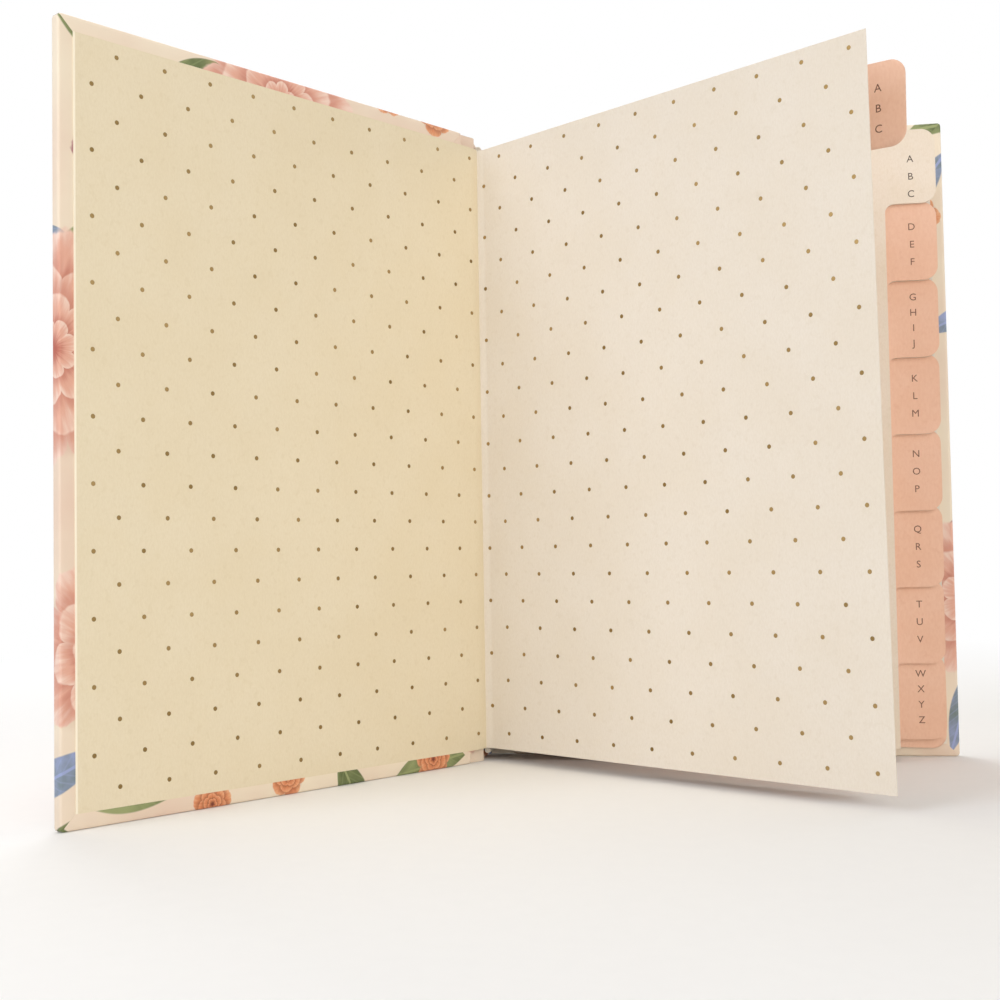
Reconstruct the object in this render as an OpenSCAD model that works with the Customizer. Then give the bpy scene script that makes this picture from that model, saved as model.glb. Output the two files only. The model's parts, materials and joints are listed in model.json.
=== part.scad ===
// Hardcover gift log book with stepped index tabs, standing open on the lower edges of its covers.
// X runs from the folds to the fore-edge, Y from the front of the stack to the back, and Z from tail to head.

/* [Cover] */
// Height of the covers, tail to head
cover_h = 165; // [120:1:230]
// Overhang of the covers past the leaves at head, tail and fore-edge
square_w = 3.3; // [2.6:0.1:5]
// Thickness of the cover boards
board_t = 2.2; // [1.2:0.1:3]
// Thickness of the printed covering paper
wrap_t = 0.25; // [0.2:0.05:0.4]
// Width of the covering that is turned in over the boards
turn_in_w = 15; // [8:1:25]
// Width of the flexible joint, from the hinge line to the board
joint_w = 6; // [4.5:0.5:9]
// Radius of the covering along the edges of the boards
edge_r = 0.5; // [0.2:0.05:0.6]
// Width of the gauze stuck under each pastedown
flap_w = 24; // [12:1:40]
// Air between a closed cover and its flyleaf
cover_air = 0.3; // [0.2:0.05:1]

/* [Opening] */
// Angle between the front cover and the back cover
cover_angle = 124; // [0:1:180]
// Share of the cover's turn that the front flyleaf takes
flyleaf_share = 0.29; // [0:0.01:0.5]
// Share of the flyleaf's turn that the first divider takes
divider_share = 0.81; // [0:0.01:1]

/* [Spine] */
// Thickness of the spine board
spine_t = 2; // [1:0.1:3]
// Hollow between the gauze on the folds and the spine
hollow_w = 0.5; // [0.4:0.1:2]
// Width of the covering's lips along the inner edges of the spine board
lip_w = 1.2; // [0.6:0.1:3]

/* [Leaves] */
// Width of a leaf, from its fold to the edge of its tab
leaf_w = 118.5; // [90:0.5:160]
// Thickness of the writing paper
sheet_t = 0.12; // [0.08:0.01:0.2]
// Folded sheets in each section
sheets = 3; // [1:1:5]
// Air between the leaves of a section
leaf_air = 0.04; // [0.02:0.01:0.1]
// Thickness of the divider card
divider_t = 0.22; // [0.15:0.01:0.4]
// Thickness of the endpapers
endpaper_t = 0.2; // [0.12:0.01:0.3]
// Air between sections, dividers and flyleaves
stack_air = 0.07; // [0.05:0.01:0.2]

/* [Index tabs] */
// Height of the leaves above the first tab and below the last one
tab_margin = 1; // [0:0.1:5]
// Reach of a tab past the cut edge of its leaf
tab_w = 12.7; // [8:0.1:20]
// Gap between the tabs of neighbouring sections
tab_gap = 0.6; // [0:0.1:3]
// Radius of a tab's outer corners
tab_r = 3.5; // [1:0.1:6]
// Radius of the fillet where a tab meets its leaf
tab_fillet_r = 2.2; // [0.5:0.1:4]

/* [Gauze and bands] */
// Thickness of the gauze on the folds
gauze_t = 0.25; // [0.15:0.05:0.4]
// Air between the folds and the gauze
gauze_air = 0.1; // [0.05:0.05:0.15]
// Distance from the turn-ins to the ends of the gauze
gauze_inset = 1; // [0.5:0.5:15]
// Radius of the gauze's rolled edge on each hinge line
bead_r = 0.3; // [0.2:0.05:0.5]
// Running clearance round the rolled edge
hinge_gap = 0.1; // [0.05:0.05:0.3]
// Diameter of the head and tail bands
band_d = 1.6; // [1:0.1:2.2]
// Length of a band's tape down the folds
tape_h = 10; // [4:1:20]
// Distance from the faces of the stack to the ends of a band
band_inset = 0.9; // [0.5:0.1:3]

/* [Hidden] */
$fn = 64;
// Names of the sections, from the first to the last
index_names = ["abc", "def", "ghij", "klm", "nop", "qrs", "tuv", "wxyz"];
count = len(index_names);
// Makes a cutter pass clear through the face that it opens
through = 1;

// Leaves, head to tail
leaf_h = cover_h - 2 * square_w;
leaf_top = cover_h - square_w;
tab_pitch = (leaf_h - 2 * tab_margin) / count;
tab_h = tab_pitch - tab_gap;
cut_edge_x = leaf_w - tab_w;

// Stack of leaves: Y = 0 is the outer face of the back flyleaf, and the end leaf lies next to it
fold_r = leaf_air / 2 + sheets * sheet_t + (sheets - 1) * leaf_air;
section_t = 2 * fold_r;
section_pitch = section_t + divider_t + 2 * stack_air;
end_leaf_y = -endpaper_t - stack_air;
sections_y = end_leaf_y - divider_t - stack_air;
function section_back(i) = sections_y - (count - 1 - i) * section_pitch;
function section_front(i) = section_back(i) - section_t;
stack_front = sections_y - count * section_pitch - endpaper_t;

// Layers of a cover, from the pastedown outwards
paste_y = cover_air;
turn_y = paste_y + endpaper_t;
board_y = turn_y + wrap_t;
board_back_y = board_y + board_t;
cover_y = board_back_y + wrap_t;
cover_x = leaf_w + square_w;

// Hinge lines of the covers, and of the leaves that stand open
hinge_drop = endpaper_t + 2 * wrap_t + hinge_gap + bead_r;
back_hinge = [0, cover_air + hinge_drop, 0];
front_hinge = [0, stack_front - cover_air - hinge_drop, 0];
gutter = [fold_r, section_front(0) - stack_air / 2, 0];
flyleaf_angle = cover_angle * flyleaf_share;
first_divider_angle = flyleaf_angle * divider_share;

// Gauze: it lies between the turn-ins
gauze_low = turn_in_w + gauze_inset;
gauze_high = cover_h - gauze_low;

// Spine, from the hollow outwards
spine_in_x = -gauze_air - gauze_t - hollow_w;
spine_board_x = spine_in_x - wrap_t;
spine_out_x = spine_board_x - spine_t - wrap_t;

// The part's origin: the middle of the back cover's lower edge
origin = [cover_x / 2, (turn_y + cover_y) / 2, 0];

PRINT = [0.83, 0.70, 0.64];
GREYBOARD = [0.62, 0.60, 0.56];
IVORY = [0.93, 0.87, 0.75];
CREAM = [0.96, 0.92, 0.84];
BLUSH = [0.91, 0.71, 0.62];
GAUZE = [0.90, 0.89, 0.84];
BAND = [0.88, 0.87, 0.84];

// Moves a piece from the stack's own axes to the part's origin
module placed() {
    translate(-origin) children();
}

// Turns a piece open about an upright line
module opened(axis, angle) {
    translate(axis) rotate([0, 0, -angle]) translate(-axis) children();
}

// Puts a piece that is drawn for the back cover on the closed front cover
module front_side() {
    translate([0, stack_front, 0]) mirror([0, 1, 0]) children();
}

// The front cover's place in the open book
module front_cover_place() {
    placed() opened(front_hinge, cover_angle) front_side() children();
}

// A block between two opposite corners
module block(low, high) {
    translate(low) cube(high - low);
}

// A rectangle between two opposite corners, with rounded corners
module rounded_rect(low, high, r) {
    size = high - low;
    translate(low + [r, 0]) square([size.x - 2 * r, size.y]);
    translate(low + [0, r]) square([size.x, size.y - 2 * r]);
    for (x = [low.x + r, high.x - r])
        for (y = [low.y + r, high.y - r])
            translate([x, y]) circle(r);
}

// A block whose edges along X and along Z are rounded
module rounded_block(low, high, r) {
    intersection() {
        translate([0, 0, low.z])
            linear_extrude(high.z - low.z)
                rounded_rect([low.x, low.y], [high.x, high.y], r);
        translate([low.x, 0, 0])
            rotate([90, 0, 90])
                linear_extrude(high.x - low.x)
                    rounded_rect([low.y, low.z], [high.y, high.z], r);
    }
}

// A sheet with an outline in X and Z, whose back face is at y_back
module sheet(y_back, thickness) {
    translate([0, y_back, 0]) rotate([90, 0, 0]) linear_extrude(thickness) children();
}

// Outline of a plain leaf, as wide as the tabs reach
module plain_outline() {
    translate([fold_r, square_w]) square([leaf_w - fold_r, leaf_h]);
}

// Height of a tab's lower edge
function tab_low(i) = leaf_top - tab_margin - (i + 1) * tab_pitch + tab_gap / 2;

// Outline of a tab, with its rounded outer corners and the fillets at its base
module tab_outline(low, height) {
    r = min(tab_r, height / 2, tab_w);
    fillet = min(tab_fillet_r, tab_w - r);
    translate([cut_edge_x - tab_w, low]) square([2 * tab_w - r, height]);
    translate([cut_edge_x, low + r]) square([tab_w, height - 2 * r]);
    for (z = [low + r, low + height - r])
        translate([leaf_w - r, z]) circle(r);
    for (side = [0, 1])
        translate([cut_edge_x, low + side * height])
            mirror([0, 1 - side])
                difference() {
                    translate([-fillet, -fillet]) square(2 * fillet);
                    translate([fillet, fillet]) circle(fillet);
                }
}

// Outline of an index leaf: a page cut back at the fore-edge, with one tab
module index_outline(low, height) {
    intersection() {
        translate([0, square_w]) square([leaf_w, leaf_h]);
        union() {
            translate([0, square_w]) square([cut_edge_x, leaf_h]);
            tab_outline(low, height);
        }
    }
}

// Profile of a sheet folded round a half circle, filled, with the fold to the left
module folded_profile(r, reach) {
    circle(r);
    translate([0, -r]) square([reach, 2 * r]);
}

// One folded sheet of a section, counted from the innermost
module folded_sheet(i, number) {
    inner_r = leaf_air / 2 + number * (sheet_t + leaf_air);
    outer_r = inner_r + sheet_t;
    intersection() {
        sheet(section_back(i), section_t) index_outline(tab_low(i), tab_h);
        translate([fold_r, section_back(i) - fold_r, square_w])
            linear_extrude(leaf_h)
                difference() {
                    folded_profile(outer_r, leaf_w);
                    folded_profile(inner_r, leaf_w + through);
                }
    }
}

// Cover pieces, drawn for the back cover
module cover_board() {
    color(GREYBOARD)
        block([joint_w, board_y, wrap_t], [cover_x - wrap_t, board_back_y, cover_h - wrap_t]);
}

module cover_wrap() {
    color(PRINT) {
        difference() {
            rounded_block([joint_w - wrap_t, turn_y, 0], [cover_x, cover_y, cover_h], edge_r);
            cover_board();
            block(
                [joint_w - wrap_t - through, turn_y - through, turn_in_w],
                [cover_x - turn_in_w, board_y, cover_h - turn_in_w]
            );
        }
        block([0, board_y, 0], [joint_w, board_y + wrap_t, cover_h]);
        for (z = [0, cover_h - turn_in_w])
            translate([0, turn_y, z]) cube([joint_w + edge_r, wrap_t, turn_in_w]);
    }
}

module pastedown() {
    color(IVORY) {
        block([0, paste_y, square_w], [leaf_w, turn_y, leaf_top]);
        block([flap_w, paste_y, turn_in_w], [cover_x - turn_in_w, board_y, cover_h - turn_in_w]);
    }
}

module mull_flap() {
    color(GAUZE)
        block([0, turn_y, gauze_low], [flap_w, board_y, gauze_high]);
}

// Front cover
module front_board() {
    front_cover_place() cover_board();
}

module front_cover_wrap() {
    front_cover_place() cover_wrap();
}

module front_pastedown() {
    front_cover_place() pastedown();
}

module front_mull_flap() {
    front_cover_place() mull_flap();
}

// Back cover
module back_board() {
    placed() cover_board();
}

module back_cover_wrap() {
    placed() cover_wrap();
}

module back_pastedown() {
    placed() pastedown();
}

module back_mull_flap() {
    placed() mull_flap();
}

// Leaves
module front_flyleaf() {
    color(IVORY)
        placed()
            opened(gutter, flyleaf_angle)
                sheet(stack_front + endpaper_t, endpaper_t) plain_outline();
}

module back_flyleaf() {
    color(IVORY)
        placed()
            sheet(0, endpaper_t) plain_outline();
}

// A blush leaf with one tab, which starts where the folds of the sections end
module blush_leaf(y_back, low, height) {
    color(BLUSH)
        sheet(y_back, divider_t)
            intersection() {
                plain_outline();
                index_outline(low, height);
            }
}

module divider(i) {
    placed()
        opened(gutter, i == 0 ? first_divider_angle : 0)
            blush_leaf(section_front(i) - stack_air, tab_low(i), tab_h);
}

// The leaf behind the last section, whose tab runs down to the tail
module end_leaf() {
    placed()
        blush_leaf(end_leaf_y, square_w, tab_low(count - 1) + tab_h - square_w);
}

module section(i) {
    color(CREAM)
        placed()
            for (number = [0 : sheets - 1])
                folded_sheet(i, number);
}

// Spine
module spine_board() {
    color(GREYBOARD)
        placed()
            block([spine_board_x - spine_t, stack_front, wrap_t], [spine_board_x, 0, cover_h - wrap_t]);
}

module spine_wrap() {
    color(PRINT)
        placed()
            difference() {
                rounded_block([spine_out_x, stack_front - wrap_t, 0], [spine_in_x, wrap_t, cover_h], edge_r);
                block([spine_board_x - spine_t, stack_front, wrap_t], [spine_board_x, 0, cover_h - wrap_t]);
                block(
                    [spine_board_x, stack_front + lip_w, turn_in_w],
                    [spine_in_x + through, -lip_w, cover_h - turn_in_w]
                );
            }
}

// Gauze on the folds of an end section, with its edge rolled round the hinge line
module gauze(hinge, y_end) {
    height = gauze_high - gauze_low;
    color(GAUZE)
        placed() {
            translate([-gauze_air - gauze_t, min(hinge.y, y_end), gauze_low])
                cube([gauze_t, abs(y_end - hinge.y), height]);
            translate([0, hinge.y, gauze_low]) cylinder(r = bead_r, h = height);
        }
}

module front_mull() {
    gauze(front_hinge, section_back(0));
}

module back_mull() {
    gauze(back_hinge, section_front(count - 1));
}

// A band for the head, with its roll on the leaves and its tape down the folds of the middle sections
module band() {
    roll_x = band_d / 2 - gauze_air - gauze_t;
    roll_z = leaf_top + hinge_gap + band_d / 2;
    tape_front = section_front(1);
    tape_back = section_back(count - 2);
    translate([roll_x, -band_inset, roll_z])
        rotate([90, 0, 0])
            cylinder(d = band_d, h = -stack_front - 2 * band_inset);
    block([-gauze_air - gauze_t, tape_front, leaf_top - tape_h], [-gauze_air, tape_back, roll_z]);
}

module head_band() {
    color(BAND) placed() band();
}

module tail_band() {
    color(BAND) placed() translate([0, 0, cover_h]) mirror([0, 0, 1]) band();
}

front_board();
front_cover_wrap();
front_pastedown();
front_mull_flap();
front_flyleaf();
for (i = [0 : count - 1]) {
    divider(i);
    section(i);
}
end_leaf();
back_flyleaf();
back_board();
back_cover_wrap();
back_pastedown();
back_mull_flap();
spine_board();
spine_wrap();
front_mull();
back_mull();
head_band();
tail_band();
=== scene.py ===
"""Looks of a gift log book: a case-bound index book that stands open on its lower edges.

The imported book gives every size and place. The classes below dress it: the case with its printed
covering, the dotted endpapers, the index leaves with their lettered tabs, and the spine's bands.
All drafting is in millimetres of the shared frame, and angles are in degrees.
"""
import json
import logging
import math
from dataclasses import dataclass
from enum import Enum
from typing import Callable, Optional, Sequence, Union

import bmesh
import bpy
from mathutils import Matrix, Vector


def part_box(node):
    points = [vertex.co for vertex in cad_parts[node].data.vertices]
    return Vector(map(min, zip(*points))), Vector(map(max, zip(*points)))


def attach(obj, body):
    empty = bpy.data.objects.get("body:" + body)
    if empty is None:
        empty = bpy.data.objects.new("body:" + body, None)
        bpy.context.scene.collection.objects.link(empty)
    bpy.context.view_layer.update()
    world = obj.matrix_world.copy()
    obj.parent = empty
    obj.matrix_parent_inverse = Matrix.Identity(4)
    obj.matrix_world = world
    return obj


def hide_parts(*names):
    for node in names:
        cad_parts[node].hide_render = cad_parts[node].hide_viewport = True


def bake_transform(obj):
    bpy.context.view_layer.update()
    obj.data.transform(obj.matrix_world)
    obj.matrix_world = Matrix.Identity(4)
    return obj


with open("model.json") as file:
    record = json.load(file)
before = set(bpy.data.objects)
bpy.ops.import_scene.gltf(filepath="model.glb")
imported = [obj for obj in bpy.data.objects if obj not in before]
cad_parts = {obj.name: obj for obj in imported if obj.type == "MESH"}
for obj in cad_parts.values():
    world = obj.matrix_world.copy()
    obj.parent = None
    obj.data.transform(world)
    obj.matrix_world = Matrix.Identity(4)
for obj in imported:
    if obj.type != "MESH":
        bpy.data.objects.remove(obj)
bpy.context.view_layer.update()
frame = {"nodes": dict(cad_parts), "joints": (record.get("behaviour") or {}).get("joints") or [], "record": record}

LOG = logging.getLogger("log_book")
MM = 0.001
SHEET_MAP = "sheet"
# Corners of a drafted piece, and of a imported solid, that lie closer than this are one.
DRAFT_MERGE_M = 1e-8
SOLID_MERGE_M = 1e-6
# Most of a noise lies between these values.
NOISE_SPAN = (0.3, 0.7)
WHITE = (1.0, 1.0, 1.0, 1.0)

Socket = bpy.types.NodeSocket
Feed = Union[float, Sequence[float], Socket, bpy.types.ID]
Flat = tuple[float, float]
Span = tuple[float, float]
Triple = tuple[float, float, float]
Colour = tuple[float, float, float, float]


class Slot(str, Enum):
    """Material slots of the record, passed along with the pieces made here."""

    COVER_PRINT = "cover_print"
    ENDPAPER = "endpaper"
    WRITING_PAPER = "writing_paper"
    DIVIDER_CARD = "divider_card"
    GAUZE = "gauze"
    BAND = "band"


class Edge(Enum):
    """The four edges of a covered panel, in the order that its outline runs."""

    TAIL = 0
    FORE = 1
    HEAD = 2
    JOINT = 3


class Tab(str, Enum):
    """Index tabs from head to tail, by the letters printed on them."""

    ABC = "ABC"
    DEF = "DEF"
    GHIJ = "GHIJ"
    KLM = "KLM"
    NOP = "NOP"
    QRS = "QRS"
    TUV = "TUV"
    WXYZ = "WXYZ"

    @property
    def divider(self) -> str:
        """Name of the blush divider with this tab."""
        return f"divider_{self.value.lower()}"

    @property
    def section(self) -> str:
        """Name of the gathering behind the divider."""
        return f"section_{self.value.lower()}"

    @property
    def body(self) -> str:
        """Name of the body that carries the gathering."""
        return f"{self.value.lower()}_section"


def tint(code: str) -> Colour:
    """Turns a hex colour, by the curve of sRGB, into the linear colour that a shader takes.

    Args:
        code: Six hex digits after a hash sign.

    Returns:
        Red, green, blue and an alpha of one.
    """
    shares = [int(code[k:k + 2], 16) / 255 for k in (1, 3, 5)]
    linear = [c / 12.92 if c <= 0.04045 else ((c + 0.055) / 1.055) ** 2.4 for c in shares]
    return (*linear, 1.0)


def smooth_share(value: float) -> float:
    """Eases a share from 0 to 1 with flat ends."""
    share = min(max(value, 0.0), 1.0)
    return share * share * (3 - 2 * share)


def as_is(point: Vector) -> Vector:
    """Leaves a point where it is."""
    return point


def arc(centre: Flat, radius: float, start: float, end: float, steps: int) -> list[Flat]:
    """Points along a round stretch.

    Args:
        centre: Middle of the arc.
        radius: Its radius.
        start: First direction.
        end: Last direction.
        steps: Number of chords.

    Returns:
        The points from start to end.
    """
    turns = [math.radians(start + (end - start) * k / steps) for k in range(steps + 1)]
    return [(centre[0] + radius * math.cos(t), centre[1] + radius * math.sin(t)) for t in turns]


def easy_bend(first: Flat, pull: Flat, last: Flat, steps: int) -> list[Flat]:
    """Points along a curve that is drawn towards a third point.

    Args:
        first: Where the curve starts, towards pull.
        pull: Point that draws it.
        last: Where it ends, coming from pull.
        steps: Number of chords.

    Returns:
        The points from first to last.
    """
    shares = [k / steps for k in range(steps + 1)]
    return [tuple((1 - s) ** 2 * first[i] + 2 * s * (1 - s) * pull[i] + s * s * last[i] for i in (0, 1))
            for s in shares]


def beside(path: Sequence[Flat], gap: float) -> list[Flat]:
    """A line at a constant distance to the left of a path.

    Args:
        path: Points of the path, in order.
        gap: Distance to the left, or to the right where it is negative.

    Returns:
        One point for each point of the path.
    """
    moved = []
    for k, point in enumerate(path):
        before, after = path[max(k - 1, 0)], path[min(k + 1, len(path) - 1)]
        run, rise = after[0] - before[0], after[1] - before[1]
        length = math.hypot(run, rise)
        moved.append((point[0] - gap * rise / length, point[1] + gap * run / length))
    return moved


def opened(spot: Flat, degrees: float) -> Flat:
    """Turns a spot of reach and depth about the hinge line in the opening direction.

    Args:
        spot: Reach and depth with the cover closed.
        degrees: Turn of the cover.

    Returns:
        Reach and depth with the cover open, still along the closed cover's lines.
    """
    angle = math.radians(degrees)
    sway, lean = math.sin(angle), math.cos(angle)
    return spot[0] * lean - spot[1] * sway, spot[0] * sway + spot[1] * lean


@dataclass(frozen=True)
class Placement:
    """Where a panel lies in plan: its hinge line, its way to the fore-edge and its outer side."""

    origin: Vector
    along: Vector
    outward: Vector

    @classmethod
    def front_at(cls, origin: Vector, degrees: float) -> "Placement":
        """Placement of a front cover or leaf that stands open by some degrees."""
        sway, lean = math.sin(math.radians(degrees)), math.cos(math.radians(degrees))
        return cls(origin, Vector((lean, -sway)), Vector((-sway, -lean)))

    def plan(self, reach: float, depth: float) -> Flat:
        """Plan point at a reach from the hinge line and a depth towards the outside."""
        spot = self.origin + self.along * reach + self.outward * depth
        return spot.x, spot.y

    def point(self, reach: float, depth: float, height: float) -> Vector:
        """Point in space at a reach, a depth and a height."""
        return Vector((*self.plan(reach, depth), height))


@dataclass(frozen=True)
class Book:
    """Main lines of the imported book.

    Attributes:
        back: Placement of the back cover.
        front: Placement of the front cover at rest.
        gutter: Plan point that the flyleaf and the first divider turn about.
        cover_turn: How far the front cover stands open.
        fly_turn: How far the flyleaf stands open.
        divider_turn: How far the first divider stands open.
        cover_low: Lowest corner of the back cover.
        cover_high: Its highest corner.
        leaf_low: Lowest corner of the back flyleaf.
        leaf_high: Its highest corner.
    """

    back: Placement
    front: Placement
    gutter: Vector
    cover_turn: float
    fly_turn: float
    divider_turn: float
    cover_low: Vector
    cover_high: Vector
    leaf_low: Vector
    leaf_high: Vector

    @classmethod
    def from_frame(cls) -> "Book":
        """Reads the hinge lines, the turns at rest and the boxes of the main nodes.

        Returns:
            The book's main lines.
        """
        joints = {joint["name"]: joint for joint in frame["joints"]}
        ratios = {row["joint"]: row["ratio"] for row in frame["record"]["behaviour"]["couplings"]}
        turn = -joints["front_cover_hinge"]["range_deg"][0]
        hinge = {name: Vector(joints[name]["pos_m"][:2]) / MM for name in joints}
        cover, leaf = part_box("back_cover_wrap"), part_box("back_flyleaf")
        return cls(
            back=Placement(hinge["back_cover_hinge"], Vector((1, 0)), Vector((0, 1))),
            front=Placement.front_at(hinge["front_cover_hinge"], turn),
            gutter=hinge["flyleaf_turn"],
            cover_turn=turn,
            fly_turn=ratios["flyleaf_turn"] * turn,
            divider_turn=ratios["divider_turn"] * turn,
            cover_low=cover[0] / MM,
            cover_high=cover[1] / MM,
            leaf_low=leaf[0] / MM,
            leaf_high=leaf[1] / MM,
        )

    def depth(self, y: float) -> float:
        """Depth from the hinge line, towards the outside, of a level on the back cover."""
        return y - self.back.origin.y

    @property
    def front_closed(self) -> Placement:
        """Placement of the front cover when it is closed."""
        return Placement(self.front.origin, Vector((1, 0)), Vector((0, -1)))

    @property
    def stack_front(self) -> float:
        """Y of the front face of the flyleaf as it lies on the stack."""
        covers = self.back.origin.y + self.front.origin.y
        return covers - self.leaf_high.y

    @property
    def reach(self) -> float:
        """Distance from a hinge line to the fore-edge of its cover."""
        return self.cover_high.x - self.back.origin.x

    @property
    def leaf_reach(self) -> float:
        """Distance from a hinge line to the fore-edge of the leaves."""
        return self.leaf_high.x - self.back.origin.x


class Draft:
    """One mesh in the making, with the flat sheet's coordinates on its faces."""

    def __init__(self) -> None:
        """Starts an empty mesh."""
        self.mesh = bmesh.new()
        self.sheet = self.mesh.loops.layers.uv.new(SHEET_MAP)

    @classmethod
    def from_node(cls, name: str) -> "Draft":
        """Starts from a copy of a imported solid.

        Args:
            name: Name of the node.

        Returns:
            The draft.
        """
        draft = cls()
        draft.mesh.from_mesh(frame["nodes"][name].data)
        bmesh.ops.remove_doubles(draft.mesh, verts=draft.mesh.verts, dist=SOLID_MERGE_M)
        return draft

    def cut(self, spot: Vector, way: Sequence[float], drop: bool = False) -> None:
        """Cuts the mesh along an upright plane.

        Args:
            spot: Point on the plane.
            way: Direction in plan that the plane looks.
            drop: Whether the side behind the plane goes, which leaves a closed end.
        """
        everything = [*self.mesh.verts, *self.mesh.edges, *self.mesh.faces]
        bmesh.ops.bisect_plane(self.mesh, geom=everything, plane_co=spot * MM, plane_no=(*way, 0.0),
                               clear_inner=drop)
        if drop:
            bmesh.ops.holes_fill(self.mesh, edges=self.mesh.edges)

    def corner(self, point: Vector) -> bmesh.types.BMVert:
        """Adds a corner given in millimetres."""
        return self.mesh.verts.new(point * MM)

    def face(self, corners: Sequence[bmesh.types.BMVert],
             places: Sequence[Flat] = ()) -> bmesh.types.BMFace:
        """Adds a face, with its corners' places on the flat sheet.

        Args:
            corners: Corners in order.
            places: Place of each corner on the flat sheet.

        Returns:
            The new face.
        """
        face = self.mesh.faces.new(corners)
        for loop, place in zip(face.loops, places):
            loop[self.sheet].uv = (place[0] * MM, place[1] * MM)
        return face

    def ribbon(self, outer: Sequence[Flat], inner: Sequence[Flat], heights: Sequence[float],
               start: float = 0.0, way: float = 1.0) -> None:
        """Adds an upright sheet of some thickness that follows a path in plan.

        Args:
            outer: Plan points of the printed side.
            inner: Plan points of the other side, one for each outer point.
            heights: Levels from the tail to the head.
            start: Place of the first point along the flat sheet.
            way: Direction along the flat sheet, 1 or -1.
        """
        runs = [0.0]
        for first, second in zip(outer, outer[1:]):
            runs.append(runs[-1] + math.dist(first, second))
        loop = list(outer) + list(reversed(inner))
        places = [start + way * run for run in runs + runs[::-1]]
        count, size = len(outer), len(loop)
        rings = [[self.corner(Vector((*spot, level))) for spot in loop] for level in heights]
        for low, high, z_low, z_high in zip(rings, rings[1:], heights, heights[1:]):
            for k in range(size):
                n = (k + 1) % size
                self.face((low[k], low[n], high[n], high[k]),
                          ((places[k], z_low), (places[n], z_low), (places[n], z_high), (places[k], z_high)))
        for ring, level in ((rings[0], heights[0]), (rings[-1], heights[-1])):
            for k in range(count - 1):
                quad = (k, k + 1, size - 2 - k, size - 1 - k)
                self.face([ring[i] for i in quad], [(places[i], level) for i in quad])

    def rings(self, rows: Sequence[Sequence[Vector]]) -> None:
        """Adds a closed form from rings, with a cap at each end.

        Args:
            rows: Rings of equal count, from one end to the other.
        """
        made = [[self.corner(point) for point in row] for row in rows]
        for low, high in zip(made, made[1:]):
            for k in range(len(low)):
                n = (k + 1) % len(low)
                self.face((low[k], low[n], high[n], high[k]))
        self.face(made[0])
        self.face(made[-1])

    def add(self, mesh: bpy.types.Mesh, place: Callable[[Vector], Vector]) -> None:
        """Adds a ready mesh.

        Args:
            mesh: Mesh in millimetres.
            place: Puts each of its corners in its place.
        """
        corners = [self.corner(place(vertex.co)) for vertex in mesh.vertices]
        for polygon in mesh.polygons:
            self.face([corners[k] for k in polygon.vertices])

    def piece(self, name: str, material: bpy.types.Material, crease: float = 35.0,
              outside: Optional[Vector] = None) -> bpy.types.Object:
        """Finishes the mesh as an object in the scene.

        Args:
            name: Name of the piece.
            material: Its finish.
            crease: Edges that turn by more than this stay sharp.
            outside: For an open sheet, the direction that its first face looks.

        Returns:
            The new object, at the origin.
        """
        bmesh.ops.remove_doubles(self.mesh, verts=self.mesh.verts, dist=DRAFT_MERGE_M)
        bmesh.ops.recalc_face_normals(self.mesh, faces=self.mesh.faces)
        self.mesh.faces.ensure_lookup_table()
        if outside is not None and self.mesh.faces[0].normal.dot(outside) < 0:
            bmesh.ops.reverse_faces(self.mesh, faces=self.mesh.faces)
        mesh = bpy.data.meshes.new(name)
        self.mesh.to_mesh(mesh)
        self.mesh.free()
        mesh.materials.append(material)
        mesh.polygons.foreach_set("use_smooth", [True] * len(mesh.polygons))
        mesh.set_sharp_from_angle(angle=math.radians(crease))
        return linked(name, mesh)


def linked(name: str, data: bpy.types.ID) -> bpy.types.Object:
    """Links a new object to the scene.

    Args:
        name: Name of the object.
        data: Mesh, curve, lamp or camera that it carries.

    Returns:
        The object.
    """
    made = bpy.data.objects.new(name, data)
    bpy.context.scene.collection.objects.link(made)
    return made


def plain_mesh(holder: bpy.types.Object) -> bpy.types.Mesh:
    """Evaluates an object with its modifiers and removes the object.

    Args:
        holder: Object whose result is wanted.

    Returns:
        The result as a plain mesh.
    """
    graph = bpy.context.evaluated_depsgraph_get()
    mesh = bpy.data.meshes.new_from_object(holder.evaluated_get(graph))
    bpy.data.objects.remove(holder)
    return mesh


def stand_for(slot: Slot, nodes: Sequence[str]) -> None:
    """Hides the nodes that a finished piece replaces.

    Args:
        slot: Record slot of its finish, which is not used.
        nodes: Nodes that it replaces.
    """
    if nodes:
        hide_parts(*nodes)


def settle(piece: bpy.types.Object, body: str, slot: Slot, *nodes: str) -> None:
    """Puts a finished piece on its body and hides the nodes that it replaces.

    Args:
        piece: Finished piece.
        body: Body that it moves with.
        slot: Record slot of its finish.
        nodes: Nodes that it replaces.
    """
    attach(piece, body)
    stand_for(slot, nodes)
    LOG.info("%s rides on %s", piece.name, body)


def settle_across(piece: bpy.types.Object, bodies: tuple[str, str], ends: tuple[Vector, Vector],
                  slot: Slot, *nodes: str) -> None:
    """Bakes a finished sheet's place into its mesh and hides the nodes that it replaces.

    Args:
        piece: Finished sheet.
        bodies: Bodies that it should bend between; they are only named in the log.
        ends: Where the bend starts and ends, which is not used.
        slot: Record slot of its finish.
        nodes: Nodes that it replaces.
    """
    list(bodies)
    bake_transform(piece)
    stand_for(slot, nodes)
    LOG.info("%s bends between %s and %s", piece.name, *bodies)


def finish_nodes(material: bpy.types.Material, *names: str) -> None:
    """Gives carried-over nodes a finish.

    Args:
        material: The finish.
        names: Names of the nodes.
    """
    for name in names:
        mesh = frame["nodes"][name].data
        mesh.materials.clear()
        mesh.materials.append(material)
        LOG.info("%s keeps its solid", name)


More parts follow.
